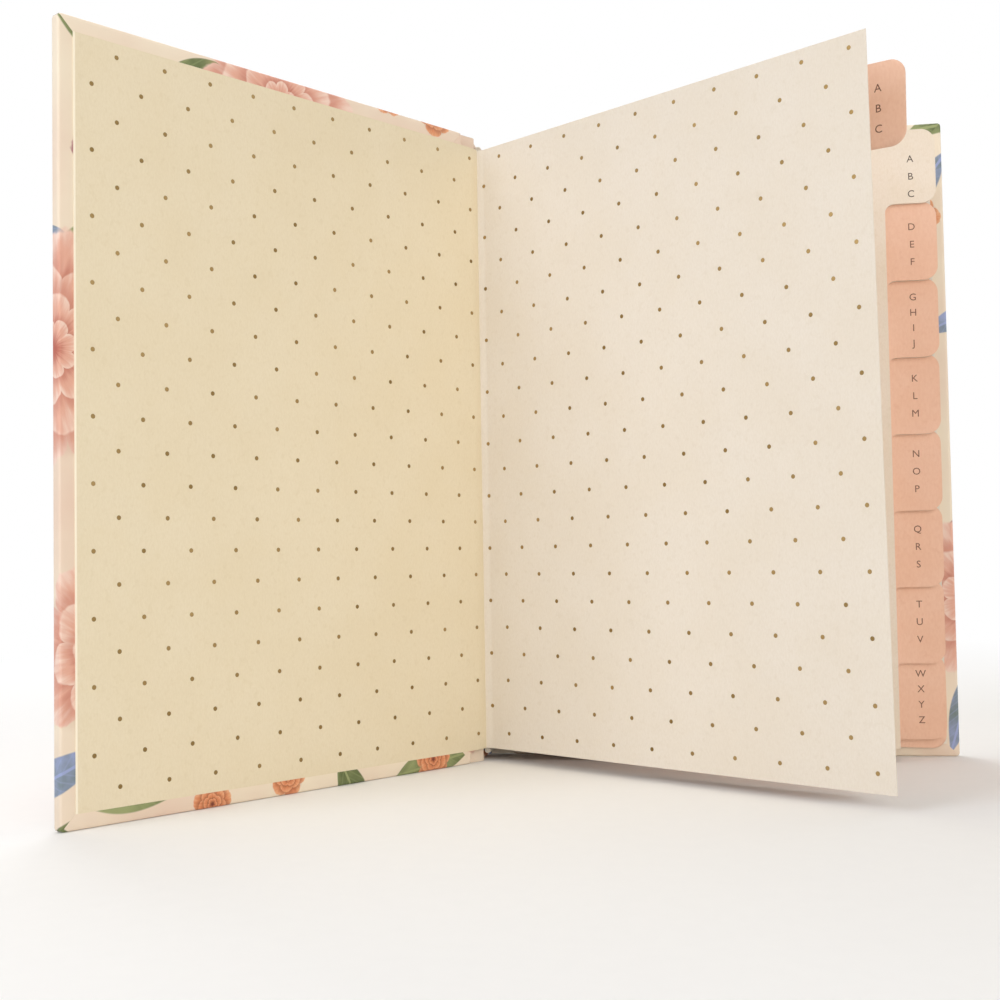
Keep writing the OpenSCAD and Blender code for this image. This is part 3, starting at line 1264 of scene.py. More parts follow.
@dataclass
class JointCover:
    """The covering in the groove between the spine and a board, which folds as the cover opens.

    Attributes:
        name: Name of the piece.
        bodies: Section and cover that it folds between.
        closed: Placement of the closed cover.
        turn: How far the cover stands open.
        board: Reach and depth at which it leaves the board's wall.
        height: Its tail and its head.
        sheet_start: Place of the board's edge along the flat sheet.
        sheet_way: Direction along the flat sheet, 1 or -1.
        paper: Thickness of the covering.
        knuckle_r: Radius of the covering round the hinge line.
        knuckle_turn: Directions between which it follows that radius.
        knuckle_steps: Chords of that stretch.
        floor_share: Depth of the groove's floor as a share of the radius.
        wall_pull: Distance from the wall of the spot that draws the bend at its foot.
        wall_foot: How far from the wall the foot meets the floor.
        wall_steps: Chords of the foot.
        tuck: Spot where the covering ends, beside the spine.
        closed_bend: Spots between which the covering takes up a turn from the closed groove.
        open_bend: The same for turns of a groove that stands open at rest.
    """

    name: str
    bodies: tuple[str, str]
    closed: Placement
    turn: float
    board: Flat
    height: Flat
    sheet_start: float
    sheet_way: float
    paper: float = 0.25
    knuckle_r: float = 0.75
    knuckle_turn: Span = (84.0, 200.0)
    knuckle_steps: int = 12
    floor_share: float = 0.9
    wall_pull: float = 0.1
    wall_foot: float = 1.5
    wall_steps: int = 6
    tuck: Flat = (-1.25, -0.78)
    closed_bend: tuple[Flat, Flat] = ((-1.2, -0.6), (1.2, 0.8))
    open_bend: tuple[Flat, Flat] = ((-0.75, -0.6), (-0.75, 0.75))

    def weight(self, spot: Flat) -> float:
        """Share of the cover's turn that a spot of the closed groove takes part in.

        Args:
            spot: Reach and depth of the spot.

        Returns:
            A share from 0 to 1.
        """
        low, high = self.closed_bend
        run = [high[k] - low[k] for k in (0, 1)]
        far = sum(run[k] * (spot[k] - low[k]) for k in (0, 1))
        return smooth_share(far / (run[0] ** 2 + run[1] ** 2))

    def path(self) -> list[Flat]:
        """Section of the closed groove, from the board's wall over the hinge line to the spine.

        Returns:
            Spots of reach and depth.
        """
        reach = self.board[0]
        floor = self.floor_share * self.knuckle_r
        wall = easy_bend(self.board, (reach - self.wall_pull, floor), (reach - self.wall_foot, floor),
                         self.wall_steps)
        knuckle = arc((0.0, 0.0), self.knuckle_r, *self.knuckle_turn, self.knuckle_steps)
        return wall + [(reach / 2, floor)] + knuckle + [self.tuck]

    def build(self, material: bpy.types.Material) -> None:
        """Builds the groove's covering, folded to the cover's turn.

        Args:
            material: Finish of the covering.
        """
        outer = self.path()
        inner = beside(outer, self.paper)
        sides = [[self.closed.plan(*opened(spot, self.turn * self.weight(spot))) for spot in side]
                 for side in (outer, inner)]
        draft = Draft()
        draft.ribbon(*sides, self.height, self.sheet_start, -self.sheet_way)
        piece = draft.piece(self.name, material)
        low, high = self.open_bend if self.turn else self.closed_bend
        ends = (self.closed.point(*low, self.height[0]), self.closed.point(*high, self.height[0]))
        settle_across(piece, self.bodies, ends, Slot.COVER_PRINT)


@dataclass
class Case:
    """The hard case: two covered boards, the spine and the grooves between them.

    Attributes:
        book: Main lines of the book.
        groove_sheet: Length of the covering in a groove, along the flat sheet.
        spine_turn_in: Width of the turn-ins round the spine.
        seam: How far the groove's covering starts inside a board's wall.
        groove_lip: Distance from a board's face to the start of the groove's covering.
        flap_start: Reach at which the front gauze flap starts.
    """

    book: Book
    groove_sheet: float = 9.5
    spine_turn_in: float = 2.0
    seam: float = 0.02
    groove_lip: float = 0.75
    flap_start: float = 3.4

    def build(self) -> None:
        """Builds the coverings and gives the hidden pieces of the case their finishes."""
        book = self.book
        cloth = FLORAL_PRINT.material()
        height = book.cover_low.z, book.cover_high.z
        spine_low, spine_high = (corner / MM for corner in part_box("spine_wrap"))
        board_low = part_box("back_board")[0] / MM
        joint = board_low.x - book.back.origin.x - (board_low.z - height[0])
        depth = book.depth(book.cover_low.y), book.depth(book.cover_high.y)
        half = (spine_high.y - spine_low.y) / 2
        Panel(name="spine_covering", body="spine", node="spine_wrap",
              place=Placement(Vector((0, 0)), Vector((0, 1)), Vector((-1, 0))),
              reach=(spine_low.y, spine_high.y), height=height, depth=(-spine_high.x, -spine_low.x),
              sheet_start=-half, sheet_way=1.0, turn_in=self.spine_turn_in).build(cloth)
        covers = (("front", book.front, book.front_closed, book.cover_turn, Tab.ABC, -1.0),
                  ("back", book.back, book.back, 0.0, Tab.WXYZ, 1.0))
        for side, place, closed, turn, tab, way in covers:
            start = way * (half + self.groove_sheet)
            Panel(name=f"{side}_covering", body=f"{side}_cover", node=f"{side}_cover_wrap", place=place,
                  reach=(joint, book.reach), height=height, depth=depth,
                  sheet_start=start, sheet_way=way).build(cloth)
            JointCover(name=f"{side}_joint_covering", bodies=(tab.body, f"{side}_cover"), closed=closed,
                       turn=turn, board=(joint + self.seam, depth[1] - self.groove_lip), height=height,
                       sheet_start=start, sheet_way=way).build(cloth)
        gauze = MULL_GAUZE.material()
        finish_nodes(GREY_BOARD.material(), "front_board", "back_board", "spine_board")
        finish_nodes(gauze, "front_mull", "back_mull", "back_mull_flap")
        self.flap(gauze)

    def flap(self, gauze: bpy.types.Material) -> None:
        """Builds the front gauze flap, cut back to leave room for the pastedown's fold.

        Args:
            gauze: Finish of the gauze.
        """
        draft = Draft.from_node("front_mull_flap")
        place = self.book.front
        draft.cut(place.point(self.flap_start, 0.0, 0.0), place.along, drop=True)
        settle(draft.piece("front_mull_flap_under_fold", gauze), "front_cover", Slot.GAUZE, "front_mull_flap")


@dataclass
class TurnedLeaf:
    """A leaf that stands up from the stack, with a hollow towards its fold in the gutter.

    Attributes:
        node: Node that it replaces.
        body: Body that it should move with, named in the log.
        book: Main lines of the book.
        turn: How far the leaf stands open.
        hollow: How far the fold lies in front of the flat leaf.
        skew: Lean of the leaf, as a share of the height.
        sag: How far the fore-edge hangs.
        width: Reach from which the leaf is flat.
        cuts: Cuts across the hollow.
        bend: Reach at which the leaf's own turn starts and at which it is complete.
    """

    node: str
    body: str
    book: Book
    turn: float
    hollow: float = 0.0
    skew: float = 0.0
    sag: float = 0.0
    width: float = 3.3
    cuts: int = 10
    bend: Span = (0.5, 2.2)

    @property
    def place(self) -> Placement:
        """Placement of the leaf, from the gutter to its fore-edge."""
        return Placement.front_at(self.book.gutter, self.turn)

    def point(self, reach: float, depth: float, height: float) -> Vector:
        """Point of the leaf at rest.

        Args:
            reach: Distance from the gutter.
            depth: Distance in front of the gutter's plane.
            height: Height on the flat leaf.

        Returns:
            The point in space.
        """
        share = reach / self.book.leaf_reach
        middle = (self.book.leaf_low.z + self.book.leaf_high.z) / 2
        rise = self.hollow * max(1 - reach / self.width, 0.0) ** 2
        return self.place.point(reach - self.skew * (height - middle) * share, depth + rise,
                                height - self.sag * share ** 2)

    def from_stack(self, point: Vector) -> Vector:
        """Place at rest of a point of the leaf as it lies on the stack."""
        return self.point(point.x - self.book.gutter.x, self.book.gutter.y - point.y, point.z)

    def ends(self) -> tuple[Vector, Vector]:
        """Where the leaf's own turn starts and where it is complete."""
        return self.place.point(self.bend[0], self.hollow, 0.0), self.place.point(self.bend[1], 0.0, 0.0)

    def settle(self, piece: bpy.types.Object, slot: Slot, *nodes: str) -> None:
        """Passes a piece to settle_across, with the first gathering, the leaf's body and the ends of its turn."""
        settle_across(piece, (Tab.ABC.body, self.body), self.ends(), slot, *nodes)

    def build(self, material: bpy.types.Material, slot: Slot) -> None:
        """Builds the leaf from its solid, standing open at its turn.

        Args:
            material: Finish of the leaf.
            slot: Record slot of the finish.
        """
        draft = Draft.from_node(self.node)
        place = self.place
        for k in range(1, self.cuts + 1):
            draft.cut(place.point(self.width * k / self.cuts, 0.0, 0.0), place.along)
        for corner in draft.mesh.verts:
            spot = corner.co.xy / MM - place.origin
            corner.co = self.point(spot.dot(place.along), spot.dot(place.outward), corner.co.z / MM) * MM
        self.settle(draft.piece(f"turned_{self.node}", material), slot, self.node)


class NodeBench(Bench):
    """A Geometry Nodes tree with named inputs."""

    def __init__(self, name: str) -> None:
        """Starts a tree that gives out one geometry.

        Args:
            name: Name of the tree.
        """
        super().__init__(bpy.data.node_groups.new(name, "GeometryNodeTree"))
        self.tree.interface.new_socket("Geometry", in_out="OUTPUT", socket_type="NodeSocketGeometry")
        self.source = self.node("NodeGroupInput", {})
        self.sink = self.node("NodeGroupOutput", {})
        self.values: dict[str, Union[int, float]] = {}

    def input(self, name: str, value: Union[int, float]) -> Socket:
        """Adds a named input of the tree.

        Args:
            name: Name of the input.
            value: Its value, a count or a length.

        Returns:
            The socket that carries it inside the tree.
        """
        kind = "Int" if isinstance(value, int) else "Float"
        item = self.tree.interface.new_socket(name, in_out="INPUT", socket_type=f"NodeSocket{kind}")
        self.values[item.identifier] = value
        return next(s for s in self.source.outputs if s.identifier == item.identifier)

    def joined(self, *parts: Socket) -> Socket:
        """Joins several geometries.

        Args:
            parts: The geometries, in order.

        Returns:
            All of them as one.
        """
        node = self.node("GeometryNodeJoinGeometry", {})
        for part in reversed(parts):
            self.feed(node.inputs[0], part)
        return node.outputs[0]

    def result(self, geometry: Socket, material: bpy.types.Material) -> bpy.types.Mesh:
        """Ends the tree, runs it and gives its plain mesh.

        Args:
            geometry: Instances that the tree makes.
            material: Finish of the result.

        Returns:
            The mesh.
        """
        whole = self.first("GeometryNodeRealizeInstances", {0: geometry})
        dressed = self.first("GeometryNodeSetMaterial", {"Geometry": whole, "Material": material})
        self.feed(self.sink.inputs[0], dressed)
        holder = linked("pattern", bpy.data.meshes.new("pattern"))
        maker = holder.modifiers.new("pattern", "NODES")
        maker.node_group = self.tree
        for key, value in self.values.items():
            maker[key] = value
        return plain_mesh(holder)


@dataclass
class FoilDots:
    """Foil dots in staggered columns: long columns and, between them, columns of one dot less.

    Attributes:
        columns: Number of long columns.
        rows: Dots in a long column.
        column_step: Distance between long columns.
        row_step: Distance between the dots of a column.
        radius: Radius of a dot.
        thickness: Thickness of the foil.
        sides: Sides of a dot.
        centre_reach: Reach of the field's middle.
        centre_height: Height of the field's middle.
    """

    columns: int = 10
    rows: int = 12
    column_step: float = 11.7
    row_step: float = 13.75
    radius: float = 0.5
    thickness: float = 0.04
    sides: int = 18
    centre_reach: float = 58.8
    centre_height: float = 83.1

    def field(self, material: bpy.types.Material, long_first: bool) -> bpy.types.Mesh:
        """Makes the field of dots on a flat page, round its middle.

        Args:
            material: Finish of the foil.
            long_first: Whether the column at the fore-edge is a long one.

        Returns:
            A mesh in millimetres, with reach along X, height along Y and the page's face at Z of zero.
        """
        bench = NodeBench("foil_dots")
        columns, rows = bench.input("Columns", self.columns), bench.input("Rows", self.rows)
        across, down = bench.input("Column step", self.column_step), bench.input("Row step", self.row_step)
        # A quarter step each way puts the two kinds of columns half a step apart.
        shift = bench.input("Shift", self.column_step / 4 * (1 if long_first else -1))
        dot = bench.first("GeometryNodeMeshCylinder", {"Vertices": bench.input("Sides", self.sides),
                                                       "Radius": bench.input("Radius", self.radius),
                                                       "Depth": bench.input("Thickness", self.thickness)})
        width = bench.math("MULTIPLY", bench.math("SUBTRACT", columns, 1.0), across)
        grids = []
        for fewer, way in ((0.0, 1.0), (1.0, -1.0)):
            count = bench.math("SUBTRACT", rows, fewer)
            height = bench.math("MULTIPLY", bench.math("SUBTRACT", count, 1.0), down)
            grid = bench.first("GeometryNodeMeshGrid", {"Size X": width, "Size Y": height,
                                                        "Vertices X": columns, "Vertices Y": count})
            move = bench.first("ShaderNodeCombineXYZ", {0: bench.math("MULTIPLY", shift, way)})
            spots = bench.first("GeometryNodeTransform", {"Geometry": grid, "Translation": move})
            grids.append(bench.first("GeometryNodeInstanceOnPoints", {"Points": spots, "Instance": dot}))
        return bench.result(bench.joined(*grids), material)

    def lay(self, name: str, material: bpy.types.Material, long_first: bool,
            place: Callable[[float, float, float], Vector]) -> bpy.types.Object:
        """Lays the dots on a page.

        Args:
            name: Name of the piece.
            material: Finish of the foil.
            long_first: Whether the column at the fore-edge is a long one.
            place: Gives the point at a reach, a height and a lift above the page.

        Returns:
            The dots as one piece.
        """
        draft = Draft()
        draft.add(self.field(material, long_first),
                  lambda p: place(p.x + self.centre_reach, p.y + self.centre_height, p.z))
        return draft.piece(name, material)


@dataclass
class Endpapers:
    """Pastedowns and flyleaves with their foil dots, folded in the two gutters.

    Attributes:
        book: Main lines of the book.
        fly_skew: Lean of the flyleaf, as a share of the height.
        hollow: How far the flyleaf's fold lies in front of the flat leaf.
        flat_to: Reach at which a pastedown leaves the board.
        fold: Spot of reach and depth where the front pastedown ends in the gutter.
        crease: Spot that draws its bend.
        back_fold: Reach at which the back pastedown ends, and how far below the flyleaf's face.
        back_crease: Reach of the spot that draws its bend, and its depth below the pastedown's face.
        bend_steps: Chords of a bend.
    """

    book: Book
    fly_skew: float = 0.0137
    hollow: float = 1.42
    flat_to: float = 2.75
    fold: Flat = (0.5, -0.8)
    crease: Flat = (0.45, 0.6)
    back_fold: Flat = (0.45, 0.02)
    back_crease: Flat = (0.3, 0.5)
    bend_steps: int = 10

    @property
    def face(self) -> float:
        """Depth of a pastedown's visible face."""
        return self.book.depth((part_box("back_pastedown")[0] / MM).y)

    def pastedown(self, side: str, section: str, closed: Placement, turn: float, root: Flat, pull: Flat,
                  material: bpy.types.Material) -> None:
        """Builds a pastedown whose inner end runs into the gutter.

        Args:
            side: Front or back.
            section: Body of the gathering at the gutter, named in the log.
            closed: Placement of the closed cover.
            turn: How far the cover stands open.
            root: Spot of reach and depth, with the cover closed, where the flyleaf starts.
            pull: Spot that draws the bend.
            material: Finish of the paper.
        """
        thick = self.book.depth(self.book.cover_low.y) - self.face
        end, far = opened((self.flat_to, self.face), turn), opened((self.book.leaf_reach, self.face), turn)
        path = [far] + easy_bend(end, pull, root, self.bend_steps)
        sides = [[closed.plan(*spot) for spot in line] for line in (path, beside(path, -thick))]
        draft = Draft()
        draft.ribbon(*sides, (self.book.leaf_low.z, self.book.leaf_high.z))
        piece = draft.piece(f"{side}_pastedown_sheet", material)
        ends = tuple(closed.point(*spot, 0.0) for spot in (root, end))
        settle_across(piece, (section, f"{side}_cover"), ends, Slot.ENDPAPER, f"{side}_pastedown")

    def build(self) -> None:
        """Builds the endpapers and their dots."""
        book, dots, face = self.book, FoilDots(), self.face
        # The pastedowns take the endpaper copy with painted shade, and the flyleaves take the paler copy with
        # painted light.
        paper, pale, foil = ENDPAPER_SHADED_COPY.material(), ENDPAPER_LIT_COPY.material(), GOLD_FOIL.material()
        back_root = (self.back_fold[0], book.depth(book.leaf_high.y) - self.back_fold[1])
        back_pull = (self.back_crease[0], face + self.back_crease[1])
        self.pastedown("front", Tab.ABC.body, book.front_closed, book.cover_turn, self.fold, self.crease,
                       paper)
        self.pastedown("back", Tab.WXYZ.body, book.back, 0.0, back_root, back_pull, paper)
        fly = TurnedLeaf("front_flyleaf", "flyleaf", book, book.fly_turn, self.hollow, self.fly_skew)
        fly.build(pale, Slot.ENDPAPER)
        finish_nodes(pale, "back_flyleaf")
        start = book.back.origin.x
        pages = (("front_pastedown", "front_cover", False,
                  lambda a, z, lift: book.front.point(a, face - lift, z)),
                 ("back_pastedown", "back_cover", False,
                  lambda a, z, lift: book.back.point(a, face - lift, z)),
                 ("back_flyleaf", Tab.WXYZ.body, True,
                  lambda a, z, lift: Vector((start + a, book.leaf_high.y + lift, z))))
        for name, body, long_first, place in pages:
            settle(dots.lay(f"{name}_dots", foil, long_first, place), body, Slot.ENDPAPER)
        fly.settle(dots.lay("front_flyleaf_dots", foil, True, lambda a, z, lift: fly.from_stack(
            Vector((start + a, book.stack_front - lift, z)))), Slot.ENDPAPER)


@dataclass
class IndexLeaves:
    """Cream gatherings and blush dividers with their letters.

    Attributes:
        book: Main lines of the book.
        cap: Height of the letters.
        cap_share: Height of a capital as a share of the font's size.
        glyph_steps: Chords in each curve of a letter.
        ink: How far the print stands off its face.
        column: Distance from the fore-edge of the leaves to the letters' middle.
        line: Distance between lines on a tab of the usual count of letters.
        tight_line: The same on a tab of more letters.
        usual_count: Letters on most tabs.
        rise: How far the letters' middle lies above the middle of their tab.
        drops: How far the first tab's letters lie lower, on its divider and on its leaves.
        lifts: How far the letters lie higher, on the second tab and on the last.
        tab_depth: Width along the fore-edge in which there are only tabs.
        card_gap: Gap between the flyleaf and the first divider as they lie on the stack.
        first_sag: How far the first divider's fore-edge hangs.
        first_skew: Lean of the first divider, as a share of the height.
        end_sag: How far the end leaf's fore-edge hangs.
        end_cuts: Strips of the end leaf.
        step_length: Length of the corner that runs on behind the tab above.
        step_rise: How far that corner stands above its tab.
        step_r: Its radius.
        step_chords: Chords of its round.
        hair: Clearance of the corner inside the card's faces.
    """

    book: Book
    cap: float = 1.85
    cap_share: float = 0.73
    glyph_steps: int = 3
    ink: float = 0.01
    column: float = 6.2
    line: float = 4.5
    tight_line: float = 3.95
    usual_count: int = 3
    rise: float = 0.3
    drops: Span = (0.9, 2.8)
    lifts: Span = (-0.5, 1.2)
    tab_depth: float = 5.0
    card_gap: float = 0.07
    first_sag: float = 1.3
    first_skew: float = -0.009
    end_sag: float = 1.1
    end_cuts: int = 12
    step_length: float = 13.4
    step_rise: float = 1.4
    step_r: float = 3.5
    step_chords: int = 8
    hair: float = 0.02

    def build(self) -> None:
        """Dresses the leaves and prints the tabs."""
        book = self.book
        cream, blush = CREAM_PAPER.material(), BLUSH_CARD.material()
        dark, brown = DARK_INK.material(), BROWN_INK.material()
        finish_nodes(cream, *[tab.section for tab in Tab])
        finish_nodes(blush, *[tab.divider for tab in Tab if tab is not Tab.ABC])
        self.end_leaf(blush)
        first = TurnedLeaf(Tab.ABC.divider, "first_divider", book, book.divider_turn,
                           skew=self.first_skew, sag=self.first_sag)
        first.build(blush, Slot.DIVIDER_CARD)
        glyphs = {letter: self.glyph(letter) for tab in Tab for letter in tab.value}
        leaf = book.leaf_high.y - book.leaf_low.y
        for row, tab in enumerate(Tab):
            low, high = self.tab_levels(tab.section)
            lift = self.lift(row)
            middle = (low + high) / 2 + self.rise + lift
            front = (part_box(tab.section)[0] / MM).y
            if tab is Tab.ABC:
                card_drop, cream_drop = self.drops
                body, place, face = first.body, first.from_stack, book.stack_front + leaf + self.card_gap
            else:
                card_drop, cream_drop = 0.0, 0.0
                body, place, face = tab.body, as_is, (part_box(tab.divider)[0] / MM).y
            settle(self.letters(tab, f"{tab.section}_letters", glyphs, dark, front, middle - cream_drop),
                   tab.body, Slot.WRITING_PAPER)
            settle(self.letters(tab, f"{tab.divider}_letters", glyphs, brown, face, middle - card_drop,
                                place), body, Slot.DIVIDER_CARD)
            if tab is not Tab.ABC:
                self.step(tab, high + lift, blush)

    def lift(self, row: int) -> float:
        """How far a tab's letters lie higher than on the first tab.

        Args:
            row: Number of the tab from the head.

        Returns:
            The distance, which drifts evenly from the second tab to the last.
        """
        if row == 0:
            return 0.0
        return self.lifts[0] + (self.lifts[1] - self.lifts[0]) * (row - 1) / (len(Tab) - 2)

    def step(self, tab: Tab, top: float, blush: bpy.types.Material) -> None:
        """Adds the round upper corner of a divider's tab, which runs on behind the tab above it.

        Args:
            tab: Tab of the divider.
            top: Height that the corner is set out from.
            blush: Finish of the card.
        """
        low, high = (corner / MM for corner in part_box(tab.divider))
        left, right = high.x - self.step_length, high.x - self.hair
        head, foot = top + self.step_rise, top - self.step_r - self.step_rise
        corner = arc((right - self.step_r, head - self.step_r), self.step_r, 0, 90, self.step_chords)
        outline = [(left, foot), (right, foot), *corner, (left, head)]
        faces = (low.y + self.hair, high.y - self.hair)
        draft = Draft()
        draft.rings([[Vector((x, y, z)) for x, z in outline] for y in faces])
        settle(draft.piece(f"{tab.divider}_step", blush), tab.body, Slot.DIVIDER_CARD)

    def end_leaf(self, blush: bpy.types.Material) -> None:
        """Builds the leaf behind the last gathering, whose fore-edge hangs a little.

        Args:
            blush: Finish of the card.
        """
        draft = Draft.from_node("end_leaf")
        start, reach = self.book.back.origin.x, self.book.leaf_reach
        for k in range(1, self.end_cuts):
            draft.cut(Vector((start + reach * k / self.end_cuts, 0.0, 0.0)), (1.0, 0.0))
        for corner in draft.mesh.verts:
            share = (corner.co.x / MM - start) / reach
            corner.co.z -= self.end_sag * share ** 2 * MM
        settle(draft.piece("sagging_end_leaf", blush), Tab.WXYZ.body, Slot.DIVIDER_CARD, "end_leaf")

    def tab_levels(self, node: str) -> Flat:
        """Heights of the lower and the upper edge of a tab.

        Args:
            node: Node with the tab.

        Returns:
            Both heights.
        """
        edge = self.book.leaf_high.x - self.tab_depth
        levels = [v.co.z / MM for v in frame["nodes"][node].data.vertices if v.co.x / MM > edge]
        return min(levels), max(levels)

    def glyph(self, letter: str) -> bpy.types.Mesh:
        """Shape of one letter, centred, with its capitals of the given height.

        Args:
            letter: A capital.

        Returns:
            A mesh in millimetres.
        """
        curve = bpy.data.curves.new("glyph", "FONT")
        curve.body, curve.align_x, curve.resolution_u = letter, "CENTER", self.glyph_steps
        curve.size = self.cap / self.cap_share
        curve.extrude = self.ink
        return plain_mesh(linked("glyph", curve))

    def letters(self, tab: Tab, name: str, glyphs: dict[str, bpy.types.Mesh], ink: bpy.types.Material,
                face: float, level: float, place: Callable[[Vector], Vector] = as_is) -> bpy.types.Object:
        """Prints a tab's letters one below the other.

        Args:
            tab: Tab to print.
            name: Name of the piece.
            glyphs: Letter shapes.
            ink: Finish of the print.
            face: Y of the printed face.
            level: Height of the letters' middle.
            place: Turns a point of the flat leaf to its place at rest.

        Returns:
            The letters as one piece.
        """
        draft = Draft()
        count = len(tab.value)
        column = self.book.leaf_high.x - self.column
        line = self.line if count == self.usual_count else self.tight_line
        top = level + line * (count - 1) / 2 - self.cap / 2
        for row, letter in enumerate(tab.value):
            foot = top - row * line
            draft.add(glyphs[letter], lambda p: place(Vector((column + p.x, face - p.z, foot + p.y))))
        return draft.piece(name, ink)


@dataclass
class Bands:
    """Head and tail bands: threads wound round a core, on a tape glued to the folds.

    Attributes:
        turns: Turns of the thread.
        thread: Radius of the thread.
        slant: Slant of the turns.
        roll_sides: Sides of a turn.
        thread_sides: Sides of the thread.
        core_sides: Sides of the core.
        core_end: Length of the core's tapered ends.
        core_tip: Radius of its tips as a share of the core's.
        tape: Thickness of the tape.
        tape_end: Distance from a band's end to the tape's.
        hair: Clearance inside the solid's box.
    """

    turns: int = 22
    thread: float = 0.21
    slant: float = 9.0
    roll_sides: int = 18
    thread_sides: int = 7
    core_sides: int = 14
    core_end: float = 0.2
    core_tip: float = 0.7
    tape: float = 0.25
    tape_end: float = 1.3
    hair: float = 0.02

    def build(self) -> None:
        """Builds both bands."""
        threads = BAND_THREAD.material()
        self.band("head_band", True, threads)
        self.band("tail_band", False, threads)

    def winding(self, radius: float, length: float, threads: bpy.types.Material) -> bpy.types.Mesh:
        """Winds the thread round the core.

        Args:
            radius: Radius of a turn.
            length: Distance from the first turn to the last.
            threads: Finish of the thread.

        Returns:
            A mesh in millimetres, with the first turn round the origin and the others along Y.
        """
        bench = NodeBench("wound_threads")
        turns, pitch = bench.input("Turns", self.turns), bench.input("Pitch", length / (self.turns - 1))
        roll, yarn = bench.input("Roll radius", radius), bench.input("Thread radius", self.thread)
        offset = bench.first("ShaderNodeCombineXYZ", {1: pitch})
        line = bench.first("GeometryNodeMeshLine", {"Count": turns, "Offset": offset})
        circles = ({"Resolution": self.roll_sides, "Radius": roll},
                   {"Resolution": self.thread_sides, "Radius": yarn})
        ring, section = (bench.first("GeometryNodeCurvePrimitiveCircle", feeds) for feeds in circles)
        loop = bench.first("GeometryNodeCurveToMesh", {"Curve": ring, "Profile Curve": section})
        upright = (math.radians(90), 0.0, math.radians(self.slant))
        wound = bench.first("GeometryNodeInstanceOnPoints",
                            {"Points": line, "Instance": loop, "Rotation": upright})
        return bench.result(wound, threads)

    def band(self, name: str, at_head: bool, threads: bpy.types.Material) -> None:
        """Builds one band in the space of its solid.

        Args:
            name: Node that it replaces.
            at_head: Whether it is the head band, whose roll lies at the top.
            threads: Finish of the threads.
        """
        low, high = (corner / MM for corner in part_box(name))
        radius = (high.x - low.x) / 2
        x, z = (low.x + high.x) / 2, (high.z - radius) if at_head else (low.z + radius)
        core, start = radius - self.thread, low.y + self.thread
        draft = Draft()
        draft.add(self.winding(core, high.y - low.y - 2 * self.thread, threads),
                  lambda p: Vector((x + p.x, start + p.y, z + p.z)))
        levels = ((low.y + self.hair, self.core_tip), (low.y + self.core_end, 1.0),
                  (high.y - self.core_end, 1.0), (high.y - self.hair, self.core_tip))
        turns = [math.tau * k / self.core_sides for k in range(self.core_sides)]
        draft.rings([[Vector((x + core * share * math.cos(t), y, z + core * share * math.sin(t)))
                      for t in turns] for y, share in levels])
        ends = (low.y + self.tape_end, high.y - self.tape_end)
        outer, inner = ([(face, y) for y in ends] for face in (low.x + self.hair, low.x + self.tape))
        draft.ribbon(outer, inner, sorted((z, low.z if at_head else high.z)))
        settle(draft.piece(f"{name}_threads", threads), "spine", Slot.BAND, name)


@dataclass(frozen=True)
class Lamp:
    """A soft square lamp that looks at the book.

    Attributes:
        name: Name of the lamp.
        way: Direction from the book to the lamp.
        distance: Distance from the book.
        size: Side of the lamp.
        watts: Its power.
        colour: Tint of its light.
    """

    name: str
    way: Triple
    distance: float
    size: float
    watts: float
    colour: Triple

    def build(self, middle: Vector) -> None:
        """Adds the lamp.

        Args:
            middle: Point that it looks at.
        """
        data = bpy.data.lights.new(self.name, "AREA")
        data.shape, data.size, data.energy, data.color = "SQUARE", self.size * MM, self.watts, self.colour
        lamp, way = linked(self.name, data), Vector(self.way)
        lamp.location = (middle + way.normalized() * self.distance) * MM
        lamp.rotation_euler = way.to_track_quat("Z", "Y").to_euler()


LAMPS = (
    Lamp("key", (-0.72, -0.69, 0.55), distance=900, size=420, watts=2.1, colour=(0.96, 0.985, 1.06)),
    Lamp("fill", (0.45, -1.0, 0.35), distance=1100, size=900, watts=5.9, colour=(1.0, 0.955, 0.88)),
    Lamp("top", (0.05, 0.2, 1.0), distance=1000, size=900, watts=4.0, colour=(1.0, 0.99, 0.975)),
    Lamp("rear", (-0.55, 1.0, 0.5), distance=1100, size=900, watts=6.0, colour=(1.0, 0.985, 0.96)))


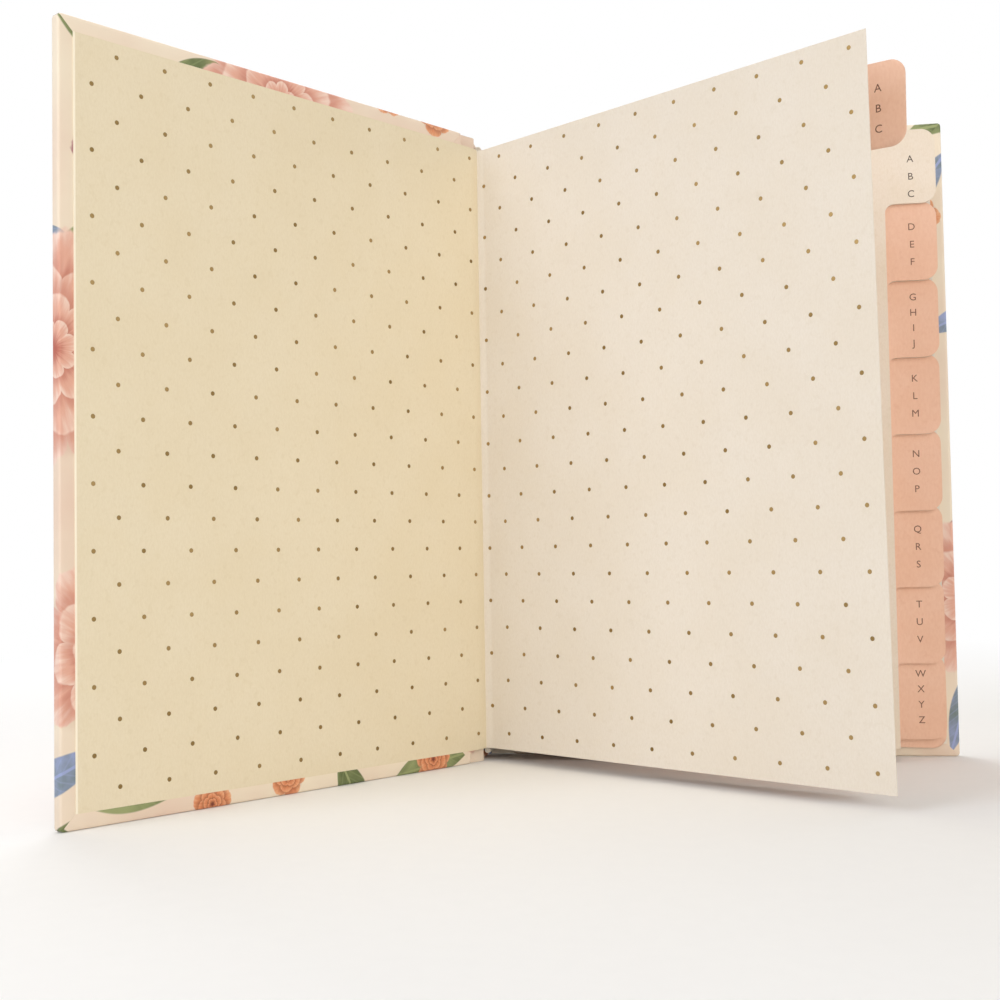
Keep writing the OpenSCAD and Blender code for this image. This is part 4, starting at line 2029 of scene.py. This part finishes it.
@dataclass
class Studio:
    """Pale floor, soft light and the camera at the photograph's angle.

    Attributes:
        eye: Place of the camera.
        aim: Its turns.
        lens: Its focal length.
        sensor: Width of its sensor.
        near: Nearest distance that it sees.
        middle: Point of the book that the lamps look at.
        floor_half: Half the side of the floor.
        floor_drop: How far the floor lies below the book.
        floor_tones: Darkest and palest grey of the floor.
        floor_speck: Size of the specks in it.
        floor_fade: Distances at which the floor starts to fade and is white.
        room_light: Tint of the light from all sides.
        room_strength: Its strength.
    """

    eye: Triple = (2.455, -374.028, 52.487)
    aim: Triple = (92.469, 0.976, 9.219)
    lens: float = 49.86
    sensor: float = 36.0
    near: float = 10.0
    middle: Triple = (0.0, -40.0, 85.0)
    floor_half: float = 3000.0
    floor_drop: float = 0.05
    floor_tones: Span = (0.90, 0.92)
    floor_speck: float = 4.0
    floor_fade: Span = (120.0, 550.0)
    room_light: Colour = (1.0, 0.97, 0.925, 1.0)
    room_strength: float = 0.34

    def build(self) -> None:
        """Sets the stage."""
        bpy.context.scene.view_settings.view_transform = "Standard"
        self.camera()
        self.floor()
        self.world()
        for lamp in LAMPS:
            lamp.build(Vector(self.middle))

    def camera(self) -> None:
        """Adds the camera."""
        data = bpy.data.cameras.new("photo_view")
        data.lens, data.sensor_width, data.clip_start = self.lens, self.sensor, self.near * MM
        camera = linked("photo_view", data)
        camera.location = Vector(self.eye) * MM
        camera.rotation_euler = [math.radians(a) for a in self.aim]
        bpy.context.scene.camera = camera

    def seen(self, bench: Bench) -> Socket:
        """Whether a ray shows the background straight, in metal or through glass.

        Args:
            bench: Node tree of the background.

        Returns:
            One where it does, or else zero.
        """
        rays = bench.node("ShaderNodeLightPath", {}).outputs
        mirrored = bench.math("MAXIMUM", rays["Is Glossy Ray"], rays["Is Transmission Ray"])
        return bench.math("MAXIMUM", rays["Is Camera Ray"], mirrored)

    def floor(self) -> None:
        """Adds a pale floor that runs out to white and keeps the shadow."""
        bench = ShaderBench("floor_pale")
        place = bench.object_place()
        speck = bench.grain(place, self.floor_speck, detail=3.0)
        far = bench.node("ShaderNodeVectorMath", {0: place}, operation="LENGTH").outputs["Value"]
        tone = bench.mix(speck, *[(grey, grey, grey, 1.0) for grey in self.floor_tones])
        bench.dress(Base_Color=tone, Roughness=0.9, Specular_IOR_Level=0.1)
        white = bench.first("ShaderNodeEmission", {"Color": WHITE, "Strength": 1.0})
        fade = bench.ease(far, *[distance * MM for distance in self.floor_fade])
        share = bench.math("MULTIPLY", fade, self.seen(bench))
        both = bench.first("ShaderNodeMixShader", {0: share, 1: bench.shader.outputs[0], 2: white})
        bench.feed(bench.output.inputs["Surface"], both)
        draft = Draft()
        half = self.floor_half
        draft.face([draft.corner(Vector((x * half, y * half, -self.floor_drop)))
                    for x, y in ((-1, -1), (1, -1), (1, 1), (-1, 1))])
        floor = draft.piece("floor", bench.material, outside=Vector((0, 0, 1)))

    def world(self) -> None:
        """Lights the room evenly and shows white behind the book."""
        world = bpy.data.worlds.new("studio")
        world.use_nodes = True
        bpy.context.scene.world = world
        bench = Bench(world.node_tree)
        bench.tree.nodes.clear()
        room = bench.first("ShaderNodeBackground", {"Color": self.room_light, "Strength": self.room_strength})
        white = bench.first("ShaderNodeBackground", {"Color": WHITE, "Strength": 1.0})
        both = bench.first("ShaderNodeMixShader", {0: self.seen(bench), 1: room, 2: white})
        bench.node("ShaderNodeOutputWorld", {"Surface": both})


def main() -> None:
    """Builds the book's looks piece by piece."""
    logging.basicConfig(level=logging.INFO, format="%(name)s: %(message)s")
    book = Book.from_frame()
    Studio().build()
    Case(book).build()
    Endpapers(book).build()
    IndexLeaves(book).build()
    Bands().build()


if __name__ == "__main__":
    main()
